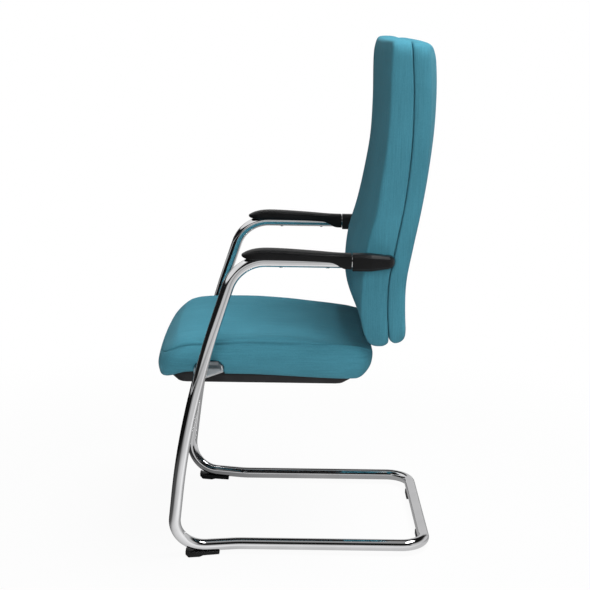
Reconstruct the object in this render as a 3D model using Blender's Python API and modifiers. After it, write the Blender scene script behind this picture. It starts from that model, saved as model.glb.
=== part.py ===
"""Visitor armchair on a bent cantilever tube frame.

Metres, +Z up. The sitter faces -Y, and the origin is on the floor under the
middle of the chair. The frame is one continuous tube: a rear floor bar, two
floor rails, two bowed front legs and two arms, whose ends carry the backrest.
"""

import math

import bmesh
import bpy
from mathutils import Matrix, Vector

CLEARANCE = 0.0003          # gap between pieces that touch
EPS = 0.0002                # how far a cutter runs past what it cuts

# Frame tube
TUBE_R = 0.0125
TUBE_WALL = 0.002
TUBE_SIDES_LEVEL = 4        # bevel resolution, 12 sides
GLIDE_LIFT = 0.008          # floor to the underside of the rails
CHAIR_DEPTH = 0.597         # seat front to the back of the rear floor bar
ARM_HALF_WIDTH = 0.2555      # the other widths follow it
RAIL_HALF_WIDTH = ARM_HALF_WIDTH - 0.0375
REAR_CORNER_R = 0.054
FLARE_Y = -CHAIR_DEPTH / 2 + 0.1795            # where the rails begin to flare out
FLARE_R = 0.120
FOOT_HALF_WIDTH = ARM_HALF_WIDTH - 0.0115
FOOT_Y = -CHAIR_DEPTH / 2 + 0.0395
FOOT_RISE = 0.0015
FOOT_R = 0.070
LEG_BOW = 0.0615             # how far the leg bows out past the arm
LEG_BOW_HALF_WIDTH = ARM_HALF_WIDTH + LEG_BOW
LEG_BOW_Y = FOOT_Y + 0.035
LEG_BOW_Z = 0.341
LEG_BOW_R = 0.800
ARM_FRONT_Y = FOOT_Y + 0.134
ARM_Z = 0.6485
ARM_BEND_R = 0.081
ARM_END_Y = 0.142           # tube end, inside the collar
BEND_STEP = math.radians(15.0)

# Glides
GLIDE_WALL = 0.0028
GLIDE_HUG = 0.0125          # height that a rear glide's cheeks reach
REAR_GLIDE_X = RAIL_HALF_WIDTH - 0.093
REAR_GLIDE_LENGTH = 0.042
FRONT_GLIDE_Y = FOOT_Y + 0.046      # middle of the heel
FRONT_GLIDE_LENGTH = 0.034
FRONT_TONGUE_LENGTH = 0.038
FRONT_TONGUE_LIFT = 0.0022
FRONT_GLIDE_TOP = 0.0115
FRONT_GLIDE_HALF_WIDTH = 0.0145
GLIDE_BEVEL = 0.0016

# Seat
SEAT_HALF_WIDTH = ARM_HALF_WIDTH - 0.0195
SEAT_FRONT_Y = -CHAIR_DEPTH / 2
SEAT_REAR_Y = SEAT_FRONT_Y + 0.463
SEAT_FRONT_R = 0.075
SEAT_REAR_R = 0.034
SEAT_FRONT_BOW = 0.008      # how far the middle of the front edge stands out
SEAT_HEM_Z = 0.400
SEAT_HEM_FRONT_DROP = 0.026  # the hem hangs lower along the front edge
SEAT_CREASE_Z = 0.4615
SEAT_TOP_Z = 0.487
SEAT_FRONT_LEAN = 0.021     # how far the front leans back up to the crease
SEAT_DISH_DROP = 0.010      # fall of the top from the middle to the rear
SEAT_WATERFALL = 0.052      # fall of the top towards the front edge
SEAT_TUCK_LENGTH = 0.070    # the rear of the seat dips under the backrest over this length
SEAT_TUCK_DROP = 0.018
SEAT_LEAN_MARGIN = 0.0026    # the leaning front lies this much further inside
CAGE_MARGIN = 0.0068        # a smooth side lies this far inside the cage that shapes it
SEAT_BOARD_HALF_WIDTH = SEAT_HALF_WIDTH - 0.033
SEAT_BOARD_FRONT_Y = SEAT_FRONT_Y + 0.0275
SEAT_BOARD_REAR_Y = SEAT_REAR_Y - 0.031
SEAT_BOARD_R = 0.028
SEAT_BOARD_Z = 0.4148       # underside
SEAT_BOARD_THICKNESS = 0.012

# Seat pan
PAN_Z = 0.375
PAN_HALF_WIDTH = SEAT_BOARD_HALF_WIDTH - 0.0015
PAN_FRONT_Y = SEAT_BOARD_FRONT_Y + 0.0025
PAN_REAR_Y = SEAT_BOARD_REAR_Y - 0.0025
PAN_R = 0.024
PAN_DRAFT_X = 0.005
PAN_DRAFT_FRONT = 0.0175     # how far the foot of the wall draws in at each end
PAN_DRAFT_REAR = 0.0270
PAN_RIM_SHARE = 0.42        # share of the height where the wall turns upright
PAN_WALL = 0.0025
PAN_BOSS_R = 0.0065
PAN_BOSS_X = PAN_HALF_WIDTH - 0.0465
PAN_BOSS_Y = (PAN_FRONT_Y + 0.1735, PAN_REAR_Y - 0.066)
PAN_SCREW_R = 0.002
PAN_SCREW_HEAD_R = 0.004
PAN_SCREW_HEAD_HEIGHT = 0.0024
PAN_SCREW_BITE = 0.009      # length in the seat board

# Seat brackets and cross bar
BRACKET_THICKNESS = 0.004
BRACKET_INNER_X = SEAT_BOARD_HALF_WIDTH - 0.073
BRACKET_FRONT_Y = LEG_BOW_Y + 0.0115
BRACKET_REAR_Y = BRACKET_FRONT_Y + 0.061
BRACKET_KNEE_X = SEAT_HALF_WIDTH + 0.011      # outside this the bracket narrows to the leg
BRACKET_NECK = 0.011        # half width at the leg
BRACKET_LIP_X = SEAT_BOARD_HALF_WIDTH + 0.004
BRACKET_LIP_THICKNESS = 0.0025
BRACKET_LIP_HEIGHT = 0.008
CROSS_BAR_HALF_LENGTH = SEAT_BOARD_HALF_WIDTH - 0.013
CROSS_BAR_WIDTH = 0.020
CROSS_BAR_HEIGHT = 0.014
CROSS_BAR_WALL = 0.0015
CROSS_BAR_Y = BRACKET_FRONT_Y + 0.0315
SEAT_BOLT_X = SEAT_BOARD_HALF_WIDTH - 0.048
SEAT_BOLT_Y = (BRACKET_FRONT_Y + 0.0095, BRACKET_REAR_Y - 0.0085)
NOTCH_REAR_Y = BRACKET_REAR_Y + 0.0015
NOTCH_FRONT_Y = BRACKET_FRONT_Y - 0.0015
NOTCH_TOP_Z = 0.4285

# Backrest
BACK_BOTTOM_Z = 0.461
BACK_TOP_Z = 1.090
REAR_TOP_Z = BACK_TOP_Z - 0.0020
BACK_HALF_WIDTH = ARM_HALF_WIDTH - 0.0275
BACK_WAIST = 0.004          # how far the sides draw in half way up
BACK_CORNER_R = 0.034
SEAM_GAP = 0.0008
SEAM_LINE = ((0.470, 0.1925), (0.535, 0.1875), (0.600, 0.1880), (0.670, 0.1995),
             (0.765, 0.2160), (0.875, 0.2260), (0.980, 0.2265), (1.090, 0.2190))
FRONT_LINE = ((0.461, 0.150), (0.525, 0.1205), (0.595, 0.1055), (0.660, 0.1095),
              (0.725, 0.1265), (0.855, 0.1535), (0.950, 0.1600), (1.060, 0.1610), (1.090, 0.1690))
BORDER_LINE = ((0.461, 0.155), (0.540, 0.1330), (0.620, 0.1350), (0.740, 0.1640),
               (0.820, 0.1750), (0.930, 0.1770), (1.060, 0.1800), (1.090, 0.1850))
REAR_LINE = ((0.470, 0.2270), (0.540, 0.2305), (0.600, 0.2335), (0.670, 0.2440),
             (0.735, 0.2610), (0.800, 0.2745), (0.925, 0.2885), (1.050, 0.2860), (1.090, 0.2700))
REAR_BORDER_DEPTH = 0.036
BACK_BOARD_HALF_WIDTH = BACK_HALF_WIDTH - 0.028
BACK_BOARD_BOTTOM_Z = 0.480
BACK_BOARD_TOP_Z = BACK_TOP_Z - 0.035
BACK_BOARD_R = 0.040
BACK_BOARD_THICKNESS = 0.010

# Steel bars that join the seat board to the back board
LINK_X = BACK_BOARD_HALF_WIDTH / 2
LINK_WIDTH = 0.038
LINK_THICKNESS = 0.005
LINK_FRONT_Y = SEAT_BOARD_REAR_Y - 0.1645
LINK_KNEE_Y = SEAT_BOARD_REAR_Y + 0.0055
LINK_SEAT_BOLT_Y = (LINK_FRONT_Y + 0.026, LINK_FRONT_Y + 0.101)
LINK_BACK_FOOT_Z = 0.500
LINK_BACK_TOP_Z = 0.625
LINK_BACK_BOLT_Z = (0.548, 0.600)
BOARD_STANDOFF = 0.0008     # the bar's gap to the curved board

# Bolts of the boards and brackets
BOLT_R = 0.003
BOLT_HEAD_R = 0.0055
BOLT_HEAD_HEIGHT = 0.0035
BOLT_SHY = 0.0015           # the bolt's end lies this far inside the steel it is threaded in

# Arm collars, arm brackets and arm pads
COLLAR_FRONT_Y = 0.1105
COLLAR_TAPER_Y = 0.146
COLLAR_REAR_Y = 0.1895
COLLAR_SNOUT_Y = 0.198
COLLAR_HALF_WIDTH = 0.0165
COLLAR_HALF_HEIGHT = 0.0174
COLLAR_REAR_HALF_HEIGHT = 0.0130
COLLAR_REAR_OUTER = 0.003   # outer side from the tube's axis, at the rear
COLLAR_SNOUT_OUTER = -0.010
COLLAR_SNOUT_HALF_HEIGHT = 0.0108
COLLAR_SIDE_GAP = 0.003     # inner side to the backrest
COLLAR_BEVEL = 0.0045
PLUG_R = 0.0097
PLUG_FRONT_Y = 0.118
PLATE_THICKNESS = 0.005
PLATE_HALF_HEIGHT = 0.0090
PLATE_TURN_Y = 0.172
PLATE_INNER_X = BACK_BOARD_HALF_WIDTH - 0.080
ARM_BOLT_X = (PLATE_INNER_X + 0.020, PLATE_INNER_X + 0.060)
SLIT_HALF_HEIGHT = 0.034
SLIT_HALF_GAP = 0.007
SLIT_DEPTH_X = BACK_BOARD_HALF_WIDTH - 0.004
PAD_TIP_Y = ARM_FRONT_Y + 0.010
PAD_REAR_Y = 0.1075
PAD_HALF_WIDTH = 0.0235
PAD_LINE_Y = (PAD_TIP_Y, PAD_TIP_Y + 0.011, PAD_TIP_Y + 0.035, PAD_TIP_Y + 0.075,
              PAD_REAR_Y - 0.0775, PAD_REAR_Y)
PAD_TOP_LINE = tuple(zip(PAD_LINE_Y, (0.6640, 0.6695, 0.6750, 0.6745, 0.6700, 0.6670)))
PAD_HEM_LINE = tuple(zip(PAD_LINE_Y, (0.6580, 0.6540, 0.6550, 0.6560, 0.6520, 0.6500)))
PAD_CLIP_Y = 0.079          # the clip at the rear of the pad goes round the tube from here
PAD_CLIP_WALL = 0.003
PAD_SCREW_Y = (PAD_TIP_Y + 0.080, PAD_REAR_Y - 0.0475)
PAD_SCREW_R = 0.0022
PAD_SCREW_HEAD_R = 0.0038
PAD_SCREW_HEAD_HEIGHT = 0.0009
PAD_SCREW_BITE = 0.004      # length in the pad above the tube

TUBE_Z = GLIDE_LIFT + TUBE_R
REAR_BAR_Y = CHAIR_DEPTH / 2 - TUBE_R
BRACKET_TOP_Z = SEAT_BOARD_Z - CLEARANCE
BRACKET_Z = BRACKET_TOP_Z - BRACKET_THICKNESS
SEAT_BOARD_TOP_Z = SEAT_BOARD_Z + SEAT_BOARD_THICKNESS
LINK_Z = SEAT_BOARD_TOP_Z + CLEARANCE + LINK_THICKNESS / 2

# colour, roughness, metallic
FINISHES = {
    "chrome": ((0.80, 0.80, 0.81), 0.12, 1.0),
    "steel": ((0.45, 0.46, 0.48), 0.35, 1.0),
    "fabric": ((0.055, 0.180, 0.230), 0.90, 0.0),
    "black_plastic": ((0.012, 0.012, 0.014), 0.42, 0.0),
    "plywood": ((0.52, 0.36, 0.20), 0.70, 0.0),
}


def clear_scene():
    for obj in list(bpy.data.objects):
        bpy.data.objects.remove(obj, do_unlink=True)


def new_collection(name):
    collection = bpy.data.collections.new(name)
    bpy.context.scene.collection.children.link(collection)
    return collection


def make_materials():
    materials = {}
    for name, (colour, roughness, metallic) in FINISHES.items():
        material = bpy.data.materials.new(name)
        material.use_nodes = True
        shader = material.node_tree.nodes["Principled BSDF"]
        shader.inputs["Base Color"].default_value = (*colour, 1.0)
        shader.inputs["Roughness"].default_value = roughness
        shader.inputs["Metallic"].default_value = metallic
        materials[name] = material
    return materials


clear_scene()
PARTS = new_collection("visitor_armchair")
CUTTERS = new_collection("cutters")
MATERIALS = make_materials()


def add_part(name, mesh, finish):
    obj = bpy.data.objects.new(name, mesh)
    mesh.materials.append(MATERIALS[finish])
    PARTS.objects.link(obj)
    return obj


def add_cutter(name, mesh):
    obj = bpy.data.objects.new(name, mesh)
    CUTTERS.objects.link(obj)
    obj.hide_render = True
    obj.display_type = "WIRE"
    return obj


def to_mesh(bm, name, smooth_angle=None):
    bmesh.ops.recalc_face_normals(bm, faces=bm.faces)
    if bm.calc_volume(signed=True) < 0:
        bmesh.ops.reverse_faces(bm, faces=bm.faces)
    mesh = bpy.data.meshes.new(name)
    bm.to_mesh(mesh)
    bm.free()
    if smooth_angle is not None:
        mesh.shade_smooth()
        mesh.set_sharp_from_angle(angle=math.radians(smooth_angle))
    return mesh


def boolean(obj, other, operation="DIFFERENCE"):
    modifier = obj.modifiers.new(operation.lower(), "BOOLEAN")
    modifier.operation = operation
    modifier.solver = "EXACT"
    modifier.object = other


def bevel(obj, width, segments=2, angle=35.0):
    modifier = obj.modifiers.new("bevel", "BEVEL")
    modifier.width = width
    modifier.segments = segments
    modifier.limit_method = "ANGLE"
    modifier.angle_limit = math.radians(angle)


def subdivide(obj, levels=1):
    modifier = obj.modifiers.new("subdivision", "SUBSURF")
    modifier.levels = levels
    modifier.render_levels = levels


def curve_to_mesh(curve, name):
    """The evaluated mesh of a curve, with its loose caps welded."""
    holder = bpy.data.objects.new(name, curve)
    bpy.context.scene.collection.objects.link(holder)
    bpy.context.view_layer.update()
    graph = bpy.context.evaluated_depsgraph_get()
    mesh = bpy.data.meshes.new_from_object(holder.evaluated_get(graph))
    bpy.data.objects.remove(holder, do_unlink=True)
    bm = bmesh.new()
    bm.from_mesh(mesh)
    bmesh.ops.remove_doubles(bm, verts=bm.verts, dist=0.00001)
    bmesh.ops.recalc_face_normals(bm, faces=bm.faces)
    bm.to_mesh(mesh)
    bm.free()
    return mesh


def tube_mesh(name, points, radius, level=TUBE_SIDES_LEVEL, capped=True):
    curve = bpy.data.curves.new(name, "CURVE")
    curve.dimensions = "3D"
    curve.bevel_depth = radius
    curve.bevel_resolution = level
    curve.render_resolution_u = 0
    curve.use_fill_caps = capped
    spline = curve.splines.new("POLY")
    spline.points.add(len(points) - 1)
    for target, point in zip(spline.points, points):
        target.co = (*point, 1.0)
    return curve_to_mesh(curve, name)


def flat_mesh(name, outline, thickness, to_world):
    """A flat piece from a closed outline, centred on its own plane."""
    curve = bpy.data.curves.new(name, "CURVE")
    curve.dimensions = "2D"
    curve.fill_mode = "BOTH"
    curve.extrude = thickness / 2
    curve.render_resolution_u = 0
    spline = curve.splines.new("POLY")
    spline.points.add(len(outline) - 1)
    for target, point in zip(spline.points, outline):
        target.co = (point[0], point[1], 0.0, 1.0)
    spline.use_cyclic_u = True
    mesh = curve_to_mesh(curve, name)
    mesh.transform(to_world)
    return mesh


def lying(z):
    """Plane for an outline in X and Y at height z."""
    return Matrix.Translation((0, 0, z))


def standing(x):
    """Plane for an outline in Y and Z at the side x."""
    turn = Matrix(((0, 0, 1, 0), (1, 0, 0, 0), (0, 1, 0, 0), (0, 0, 0, 1)))
    return Matrix.Translation((x, 0, 0)) @ turn


def cylinder_mesh(name, start, end, radius, sides=16):
    start, end = Vector(start), Vector(end)
    axis = end - start
    bm = bmesh.new()
    bmesh.ops.create_cone(bm, cap_ends=True, segments=sides, radius1=radius, radius2=radius,
                          depth=axis.length)
    turn = Vector((0, 0, 1)).rotation_difference(axis).to_matrix().to_4x4()
    bmesh.ops.transform(bm, matrix=Matrix.Translation((start + end) / 2) @ turn, verts=bm.verts)
    return to_mesh(bm, name, smooth_angle=40)


def box_mesh(name, low, high):
    low, high = Vector(low), Vector(high)
    bm = bmesh.new()
    bmesh.ops.create_cube(bm, size=1.0)
    bmesh.ops.scale(bm, vec=high - low, verts=bm.verts)
    bmesh.ops.translate(bm, vec=(low + high) / 2, verts=bm.verts)
    return to_mesh(bm, name)


def line_at(line, at):
    """Smooth value of a line of (position, value) points: cubic with flat-free slopes."""
    if at <= line[0][0]:
        return line[0][1]
    if at >= line[-1][0]:
        return line[-1][1]
    i = max(k for k in range(len(line) - 1) if line[k][0] <= at)
    (a, va), (b, vb) = line[i], line[i + 1]

    def slope(k):
        low, high = max(k - 1, 0), min(k + 1, len(line) - 1)
        return (line[high][1] - line[low][1]) / (line[high][0] - line[low][0])

    t, span = (at - a) / (b - a), b - a
    return ((2 * t ** 3 - 3 * t ** 2 + 1) * va + (t ** 3 - 2 * t ** 2 + t) * span * slope(i)
            + (3 * t ** 2 - 2 * t ** 3) * vb + (t ** 3 - t ** 2) * span * slope(i + 1))


def spread(low, high, steps):
    return [low + (high - low) * k / steps for k in range(steps + 1)]


def rounded(x, y, half_x, half_y, radius):
    """Moves a point of a rectangle's grid so that the rectangle's corners are round."""
    inner_x = max(-(half_x - radius), min(half_x - radius, x))
    inner_y = max(-(half_y - radius), min(half_y - radius, y))
    dx, dy = x - inner_x, y - inner_y
    length = math.hypot(dx, dy)
    if length < 1e-9:
        return x, y
    scale = max(abs(dx), abs(dy)) / length
    return inner_x + dx * scale, inner_y + dy * scale


def grid_block(xs, ys, zs):
    """A closed block whose faces are cut at the given stations. Vertices hold the stations."""
    bm = bmesh.new()
    bmesh.ops.create_cube(bm, size=2.0)
    for axis, stations in enumerate((xs, ys, zs)):
        along = [e for e in bm.edges
                 if abs(e.verts[0].co[axis] - e.verts[1].co[axis]) > 1.0]
        if len(stations) > 2:
            bmesh.ops.subdivide_edges(bm, edges=along, cuts=len(stations) - 2, use_grid_fill=True)
    for vert in bm.verts:
        for axis, stations in enumerate((xs, ys, zs)):
            index = round((vert.co[axis] + 1.0) / 2.0 * (len(stations) - 1))
            vert.co[axis] = stations[index]
    return bm


def edge_stations(half, radius, middle_steps):
    """Stations across a width: two in each round corner, and even ones between."""
    inner = half - radius
    middle = spread(-inner, inner, middle_steps)
    return [-half, -half + radius * 0.5, *middle, half - radius * 0.5, half]


# Frame tube

def bend(points, radii):
    """A path through the corners given, each rounded with its radius."""
    path = [points[0].copy()]
    for i, radius in enumerate(radii, start=1):
        corner = points[i]
        back = (points[i - 1] - corner).normalized()
        ahead = (points[i + 1] - corner).normalized()
        inside = back.angle(ahead)
        turn = math.pi - inside
        reach = radius / math.tan(inside / 2)
        centre = corner + (back + ahead).normalized() * math.hypot(radius, reach)
        first = (corner + back * reach - centre).normalized()
        last = (corner + ahead * reach - centre).normalized()
        side = (last - first * first.dot(last)).normalized()
        steps = max(3, round(turn / BEND_STEP))
        if radius == LEG_BOW_R:
            steps = 6
        for k in range(steps + 1):
            angle = turn * k / steps
            path.append(centre + radius * (first * math.cos(angle) + side * math.sin(angle)))
    path.append(points[-1].copy())
    return path


def frame_half():
    """Tube axis from the middle of the rear bar to the end of the arm on the +X side."""
    corners = [
        Vector((0, REAR_BAR_Y, TUBE_Z)),
        Vector((RAIL_HALF_WIDTH, REAR_BAR_Y, TUBE_Z)),
        Vector((RAIL_HALF_WIDTH, FLARE_Y, TUBE_Z)),
        Vector((FOOT_HALF_WIDTH, FOOT_Y, TUBE_Z + FOOT_RISE)),
        Vector((LEG_BOW_HALF_WIDTH, LEG_BOW_Y, LEG_BOW_Z)),
        Vector((ARM_HALF_WIDTH, ARM_FRONT_Y, ARM_Z)),
        Vector((ARM_HALF_WIDTH, ARM_END_Y, ARM_Z)),
    ]
    return bend(corners, (REAR_CORNER_R, FLARE_R, FOOT_R, LEG_BOW_R, ARM_BEND_R))


def frame_axis():
    half = frame_half()
    mirrored = [Vector((-p.x, p.y, p.z)) for p in reversed(half[1:])]
    return mirrored + half[1:]


def axis_point(height):
    """The point of the front leg's axis at a height, on the +X side."""
    half = frame_half()
    for a, b in zip(half, half[1:]):
        if a.z <= height < b.z and a.y < 0:
            return a.lerp(b, (height - a.z) / (b.z - a.z))
    raise ValueError("the leg doesn't reach this height")


def pad_screw_span():
    low = ARM_Z - TUBE_R - CLEARANCE - PAD_SCREW_HEAD_HEIGHT
    return low, ARM_Z + TUBE_R + PAD_SCREW_BITE


def make_frame():
    axis = frame_axis()
    tube = add_part("frame_tube", tube_mesh("frame_tube", axis, TUBE_R, capped=False), "chrome")
    wall = tube.modifiers.new("wall", "SOLIDIFY")
    wall.thickness = TUBE_WALL
    wall.offset = -1.0
    low, high = pad_screw_span()
    for side in (-1, 1):
        for y in PAD_SCREW_Y:
            x = side * ARM_HALF_WIDTH
            hole = cylinder_mesh("pad_screw_hole", (x, y, low - EPS), (x, y, high),
                                 PAD_SCREW_R + CLEARANCE, sides=10)
            boolean(tube, add_cutter("pad_screw_hole", hole))
    room = [p.copy() for p in axis]
    room[0].y += CLEARANCE
    room[-1].y += CLEARANCE
    clearance = tube_mesh("tube_clearance", room, TUBE_R + CLEARANCE)
    return add_cutter("tube_clearance", clearance)


# Glides under the frame

def make_glides(tube_clearance):
    hug = math.sqrt(TUBE_R ** 2 - (TUBE_Z - GLIDE_HUG) ** 2) + GLIDE_WALL
    for side, label in ((-1, "right"), (1, "left")):
        x = side * REAR_GLIDE_X
        length = REAR_GLIDE_LENGTH / 2
        rear = add_part(f"rear_glide_{label}",
                        box_mesh("rear_glide", (x - length, REAR_BAR_Y - hug, 0),
                                 (x + length, REAR_BAR_Y + hug, GLIDE_HUG)), "black_plastic")
        bevel(rear, GLIDE_BEVEL)
        boolean(rear, tube_clearance)

        flare = math.atan2(FOOT_HALF_WIDTH - RAIL_HALF_WIDTH, FLARE_Y - FOOT_Y)
        heel_x = RAIL_HALF_WIDTH + (FLARE_Y - FRONT_GLIDE_Y) * math.tan(flare)
        heel_front = FRONT_GLIDE_Y - FRONT_GLIDE_LENGTH / 2
        heel_rear = FRONT_GLIDE_Y + FRONT_GLIDE_LENGTH / 2
        stations = (heel_front, heel_front + 0.007, heel_rear - 0.004, heel_rear + 0.004,
                    heel_rear + FRONT_TONGUE_LENGTH)
        lifts = (0.0060, 0.0, 0.0, FRONT_TONGUE_LIFT, FRONT_TONGUE_LIFT)
        tops = (FRONT_GLIDE_TOP + 0.003, FRONT_GLIDE_TOP, FRONT_GLIDE_TOP,
                FRONT_GLIDE_TOP - 0.0008, FRONT_GLIDE_TOP - 0.0015)
        half = FRONT_GLIDE_HALF_WIDTH
        widths = (half * 0.80, half, half, half * 0.90, half * 0.80)
        bm = grid_block((-1.0, 1.0), tuple(range(len(stations))), (0.0, 1.0))
        for vert in bm.verts:
            k = round(vert.co.y)
            across = vert.co.x * widths[k]
            y = stations[k]
            centre = heel_x + (FRONT_GLIDE_Y - y) * math.tan(flare)
            z = lifts[k] + vert.co.z * (tops[k] - lifts[k])
            vert.co = (side * (centre + across), y, z)
        front = add_part(f"front_glide_{label}", to_mesh(bm, "front_glide"), "black_plastic")
        bevel(front, GLIDE_BEVEL)
        boolean(front, tube_clearance)


# Seat brackets, cross bar, board, pan and their fasteners

def bracket_outline(side, grow=0.0):
    leg = axis_point(BRACKET_Z + BRACKET_THICKNESS / 2)
    outline = [
        (leg.x, leg.y - BRACKET_NECK - grow),
        (leg.x, leg.y + BRACKET_NECK + grow),
        (BRACKET_KNEE_X, BRACKET_REAR_Y + grow),
        (BRACKET_INNER_X - grow, BRACKET_REAR_Y + grow),
        (BRACKET_INNER_X - grow, BRACKET_FRONT_Y - grow),
        (BRACKET_KNEE_X, BRACKET_FRONT_Y - grow),
    ]
    return [(side * x, y) for x, y in outline]


def lip_mesh(side, grow=0.0):
    """The upturned rim along the bracket's inner end and rear edge, outside the pan."""
    half = BRACKET_LIP_THICKNESS / 2 + grow
    line = [Vector((BRACKET_LIP_X, BRACKET_FRONT_Y + 0.006)),
            Vector((BRACKET_LIP_X, BRACKET_REAR_Y - 0.012)),
            Vector((BRACKET_KNEE_X - 0.003, BRACKET_REAR_Y - 0.0025))]
    left, right = [], []
    for i, point in enumerate(line):
        before = (point - line[i - 1]).normalized() if i else None
        after = (line[i + 1] - point).normalized() if i < len(line) - 1 else None
        along = ((before or after) + (after or before)).normalized()
        normal = Vector((-along.y, along.x))
        stretch = half / normal.dot(Vector((-(after or before).y, (after or before).x)))
        left.append(point + normal * stretch)
        right.append(point - normal * stretch)
    outline = [(side * p.x, p.y) for p in left + right[::-1]]
    base = BRACKET_Z + BRACKET_THICKNESS / 2
    top = BRACKET_TOP_Z + BRACKET_LIP_HEIGHT + grow
    return flat_mesh("bracket_lip", outline, top - base, lying((base + top) / 2))


def bolt_mesh(name, head_base, axis, length, radius, head_radius, head_height, sides=10):
    """A bolt as a turned profile: the shank runs from head_base along axis."""
    profile = [(0, -head_height), (head_radius * 0.85, -head_height), (head_radius, 0),
               (radius, 0), (radius, length), (0, length)]
    bm = bmesh.new()
    verts = [bm.verts.new((r, 0, z)) for r, z in profile]
    edges = [bm.edges.new(pair) for pair in zip(verts, verts[1:])]
    bmesh.ops.spin(bm, geom=verts + edges, axis=(0, 0, 1), cent=(0, 0, 0), steps=sides,
                   angle=2 * math.pi, use_merge=True)
    bmesh.ops.remove_doubles(bm, verts=bm.verts, dist=0.00001)
    turn = Vector((0, 0, 1)).rotation_difference(Vector(axis)).to_matrix().to_4x4()
    bmesh.ops.transform(bm, matrix=Matrix.Translation(head_base) @ turn, verts=bm.verts)
    return to_mesh(bm, name, smooth_angle=40)


def make_seat_steel(tube_clearance):
    """Brackets on the legs, the cross bar between them and the bolts into the seat board."""
    cutters = {"brackets": [], "bolts": []}
    for side, label in ((-1, "right"), (1, "left")):
        plate = flat_mesh("seat_bracket", bracket_outline(side), BRACKET_THICKNESS,
                          lying(BRACKET_Z + BRACKET_THICKNESS / 2))
        bracket = add_part(f"seat_bracket_{label}", plate, "chrome")
        boolean(bracket, add_cutter("bracket_lip", lip_mesh(side)), "UNION")
        boolean(bracket, tube_clearance)
        grown = flat_mesh("bracket_clearance", bracket_outline(side, CLEARANCE),
                          BRACKET_THICKNESS + 2 * CLEARANCE,
                          lying(BRACKET_Z + BRACKET_THICKNESS / 2))
        cutters["brackets"].append(add_cutter("bracket_clearance", grown))
        for index, y in enumerate(SEAT_BOLT_Y, start=1):
            base = Vector((side * SEAT_BOLT_X, y, BRACKET_Z - CLEARANCE))
            length = BRACKET_THICKNESS + SEAT_BOARD_THICKNESS * 0.8
            add_part(f"seat_bolt_{label}_{index}",
                     bolt_mesh("seat_bolt", base, (0, 0, 1), length, BOLT_R, BOLT_HEAD_R,
                               BOLT_HEAD_HEIGHT), "steel")
            hole = add_cutter("seat_bolt_hole", cylinder_mesh(
                "seat_bolt_hole", base - Vector((0, 0, EPS)),
                base + Vector((0, 0, length + CLEARANCE)), BOLT_R + CLEARANCE, 12))
            boolean(bracket, hole)
            cutters["bolts"].append(hole)

    low_z = BRACKET_Z - CLEARANCE - CROSS_BAR_HEIGHT
    bm = bmesh.new()
    bmesh.ops.create_cube(bm, size=1.0)
    ends = [f for f in bm.faces if abs(f.normal.x) > 0.5]
    bmesh.ops.delete(bm, geom=ends, context="FACES")
    bmesh.ops.scale(bm, vec=(2 * CROSS_BAR_HALF_LENGTH, CROSS_BAR_WIDTH, CROSS_BAR_HEIGHT),
                    verts=bm.verts)
    bmesh.ops.translate(bm, vec=(0, CROSS_BAR_Y, low_z + CROSS_BAR_HEIGHT / 2), verts=bm.verts)
    bmesh.ops.solidify(bm, geom=bm.faces[:], thickness=CROSS_BAR_WALL)
    add_part("seat_cross_bar", to_mesh(bm, "seat_cross_bar"), "steel")
    return cutters


def rounded_slab(name, half_x, y_low, y_high, radius, z_low, z_high):
    middle_y, half_y = (y_low + y_high) / 2, (y_high - y_low) / 2
    bm = grid_block(edge_stations(half_x, radius, 2), edge_stations(half_y, radius, 2),
                    (z_low, z_high))
    for vert in bm.verts:
        x, y = rounded(vert.co.x, vert.co.y, half_x, half_y, radius)
        vert.co.x, vert.co.y = x, y + middle_y
    return to_mesh(bm, name)


def make_seat_board(bolt_holes):
    board = add_part("seat_board", rounded_slab(
        "seat_board", SEAT_BOARD_HALF_WIDTH, SEAT_BOARD_FRONT_Y, SEAT_BOARD_REAR_Y, SEAT_BOARD_R,
        SEAT_BOARD_Z, SEAT_BOARD_TOP_Z), "plywood")
    for hole in bolt_holes:
        boolean(board, hole)
    pocket = rounded_slab("seat_board_pocket", SEAT_BOARD_HALF_WIDTH + CLEARANCE,
                          SEAT_BOARD_FRONT_Y - CLEARANCE, SEAT_BOARD_REAR_Y + CLEARANCE,
                          SEAT_BOARD_R, PAN_Z, SEAT_BOARD_TOP_Z + CLEARANCE)
    return add_cutter("seat_board_pocket", pocket)


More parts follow.
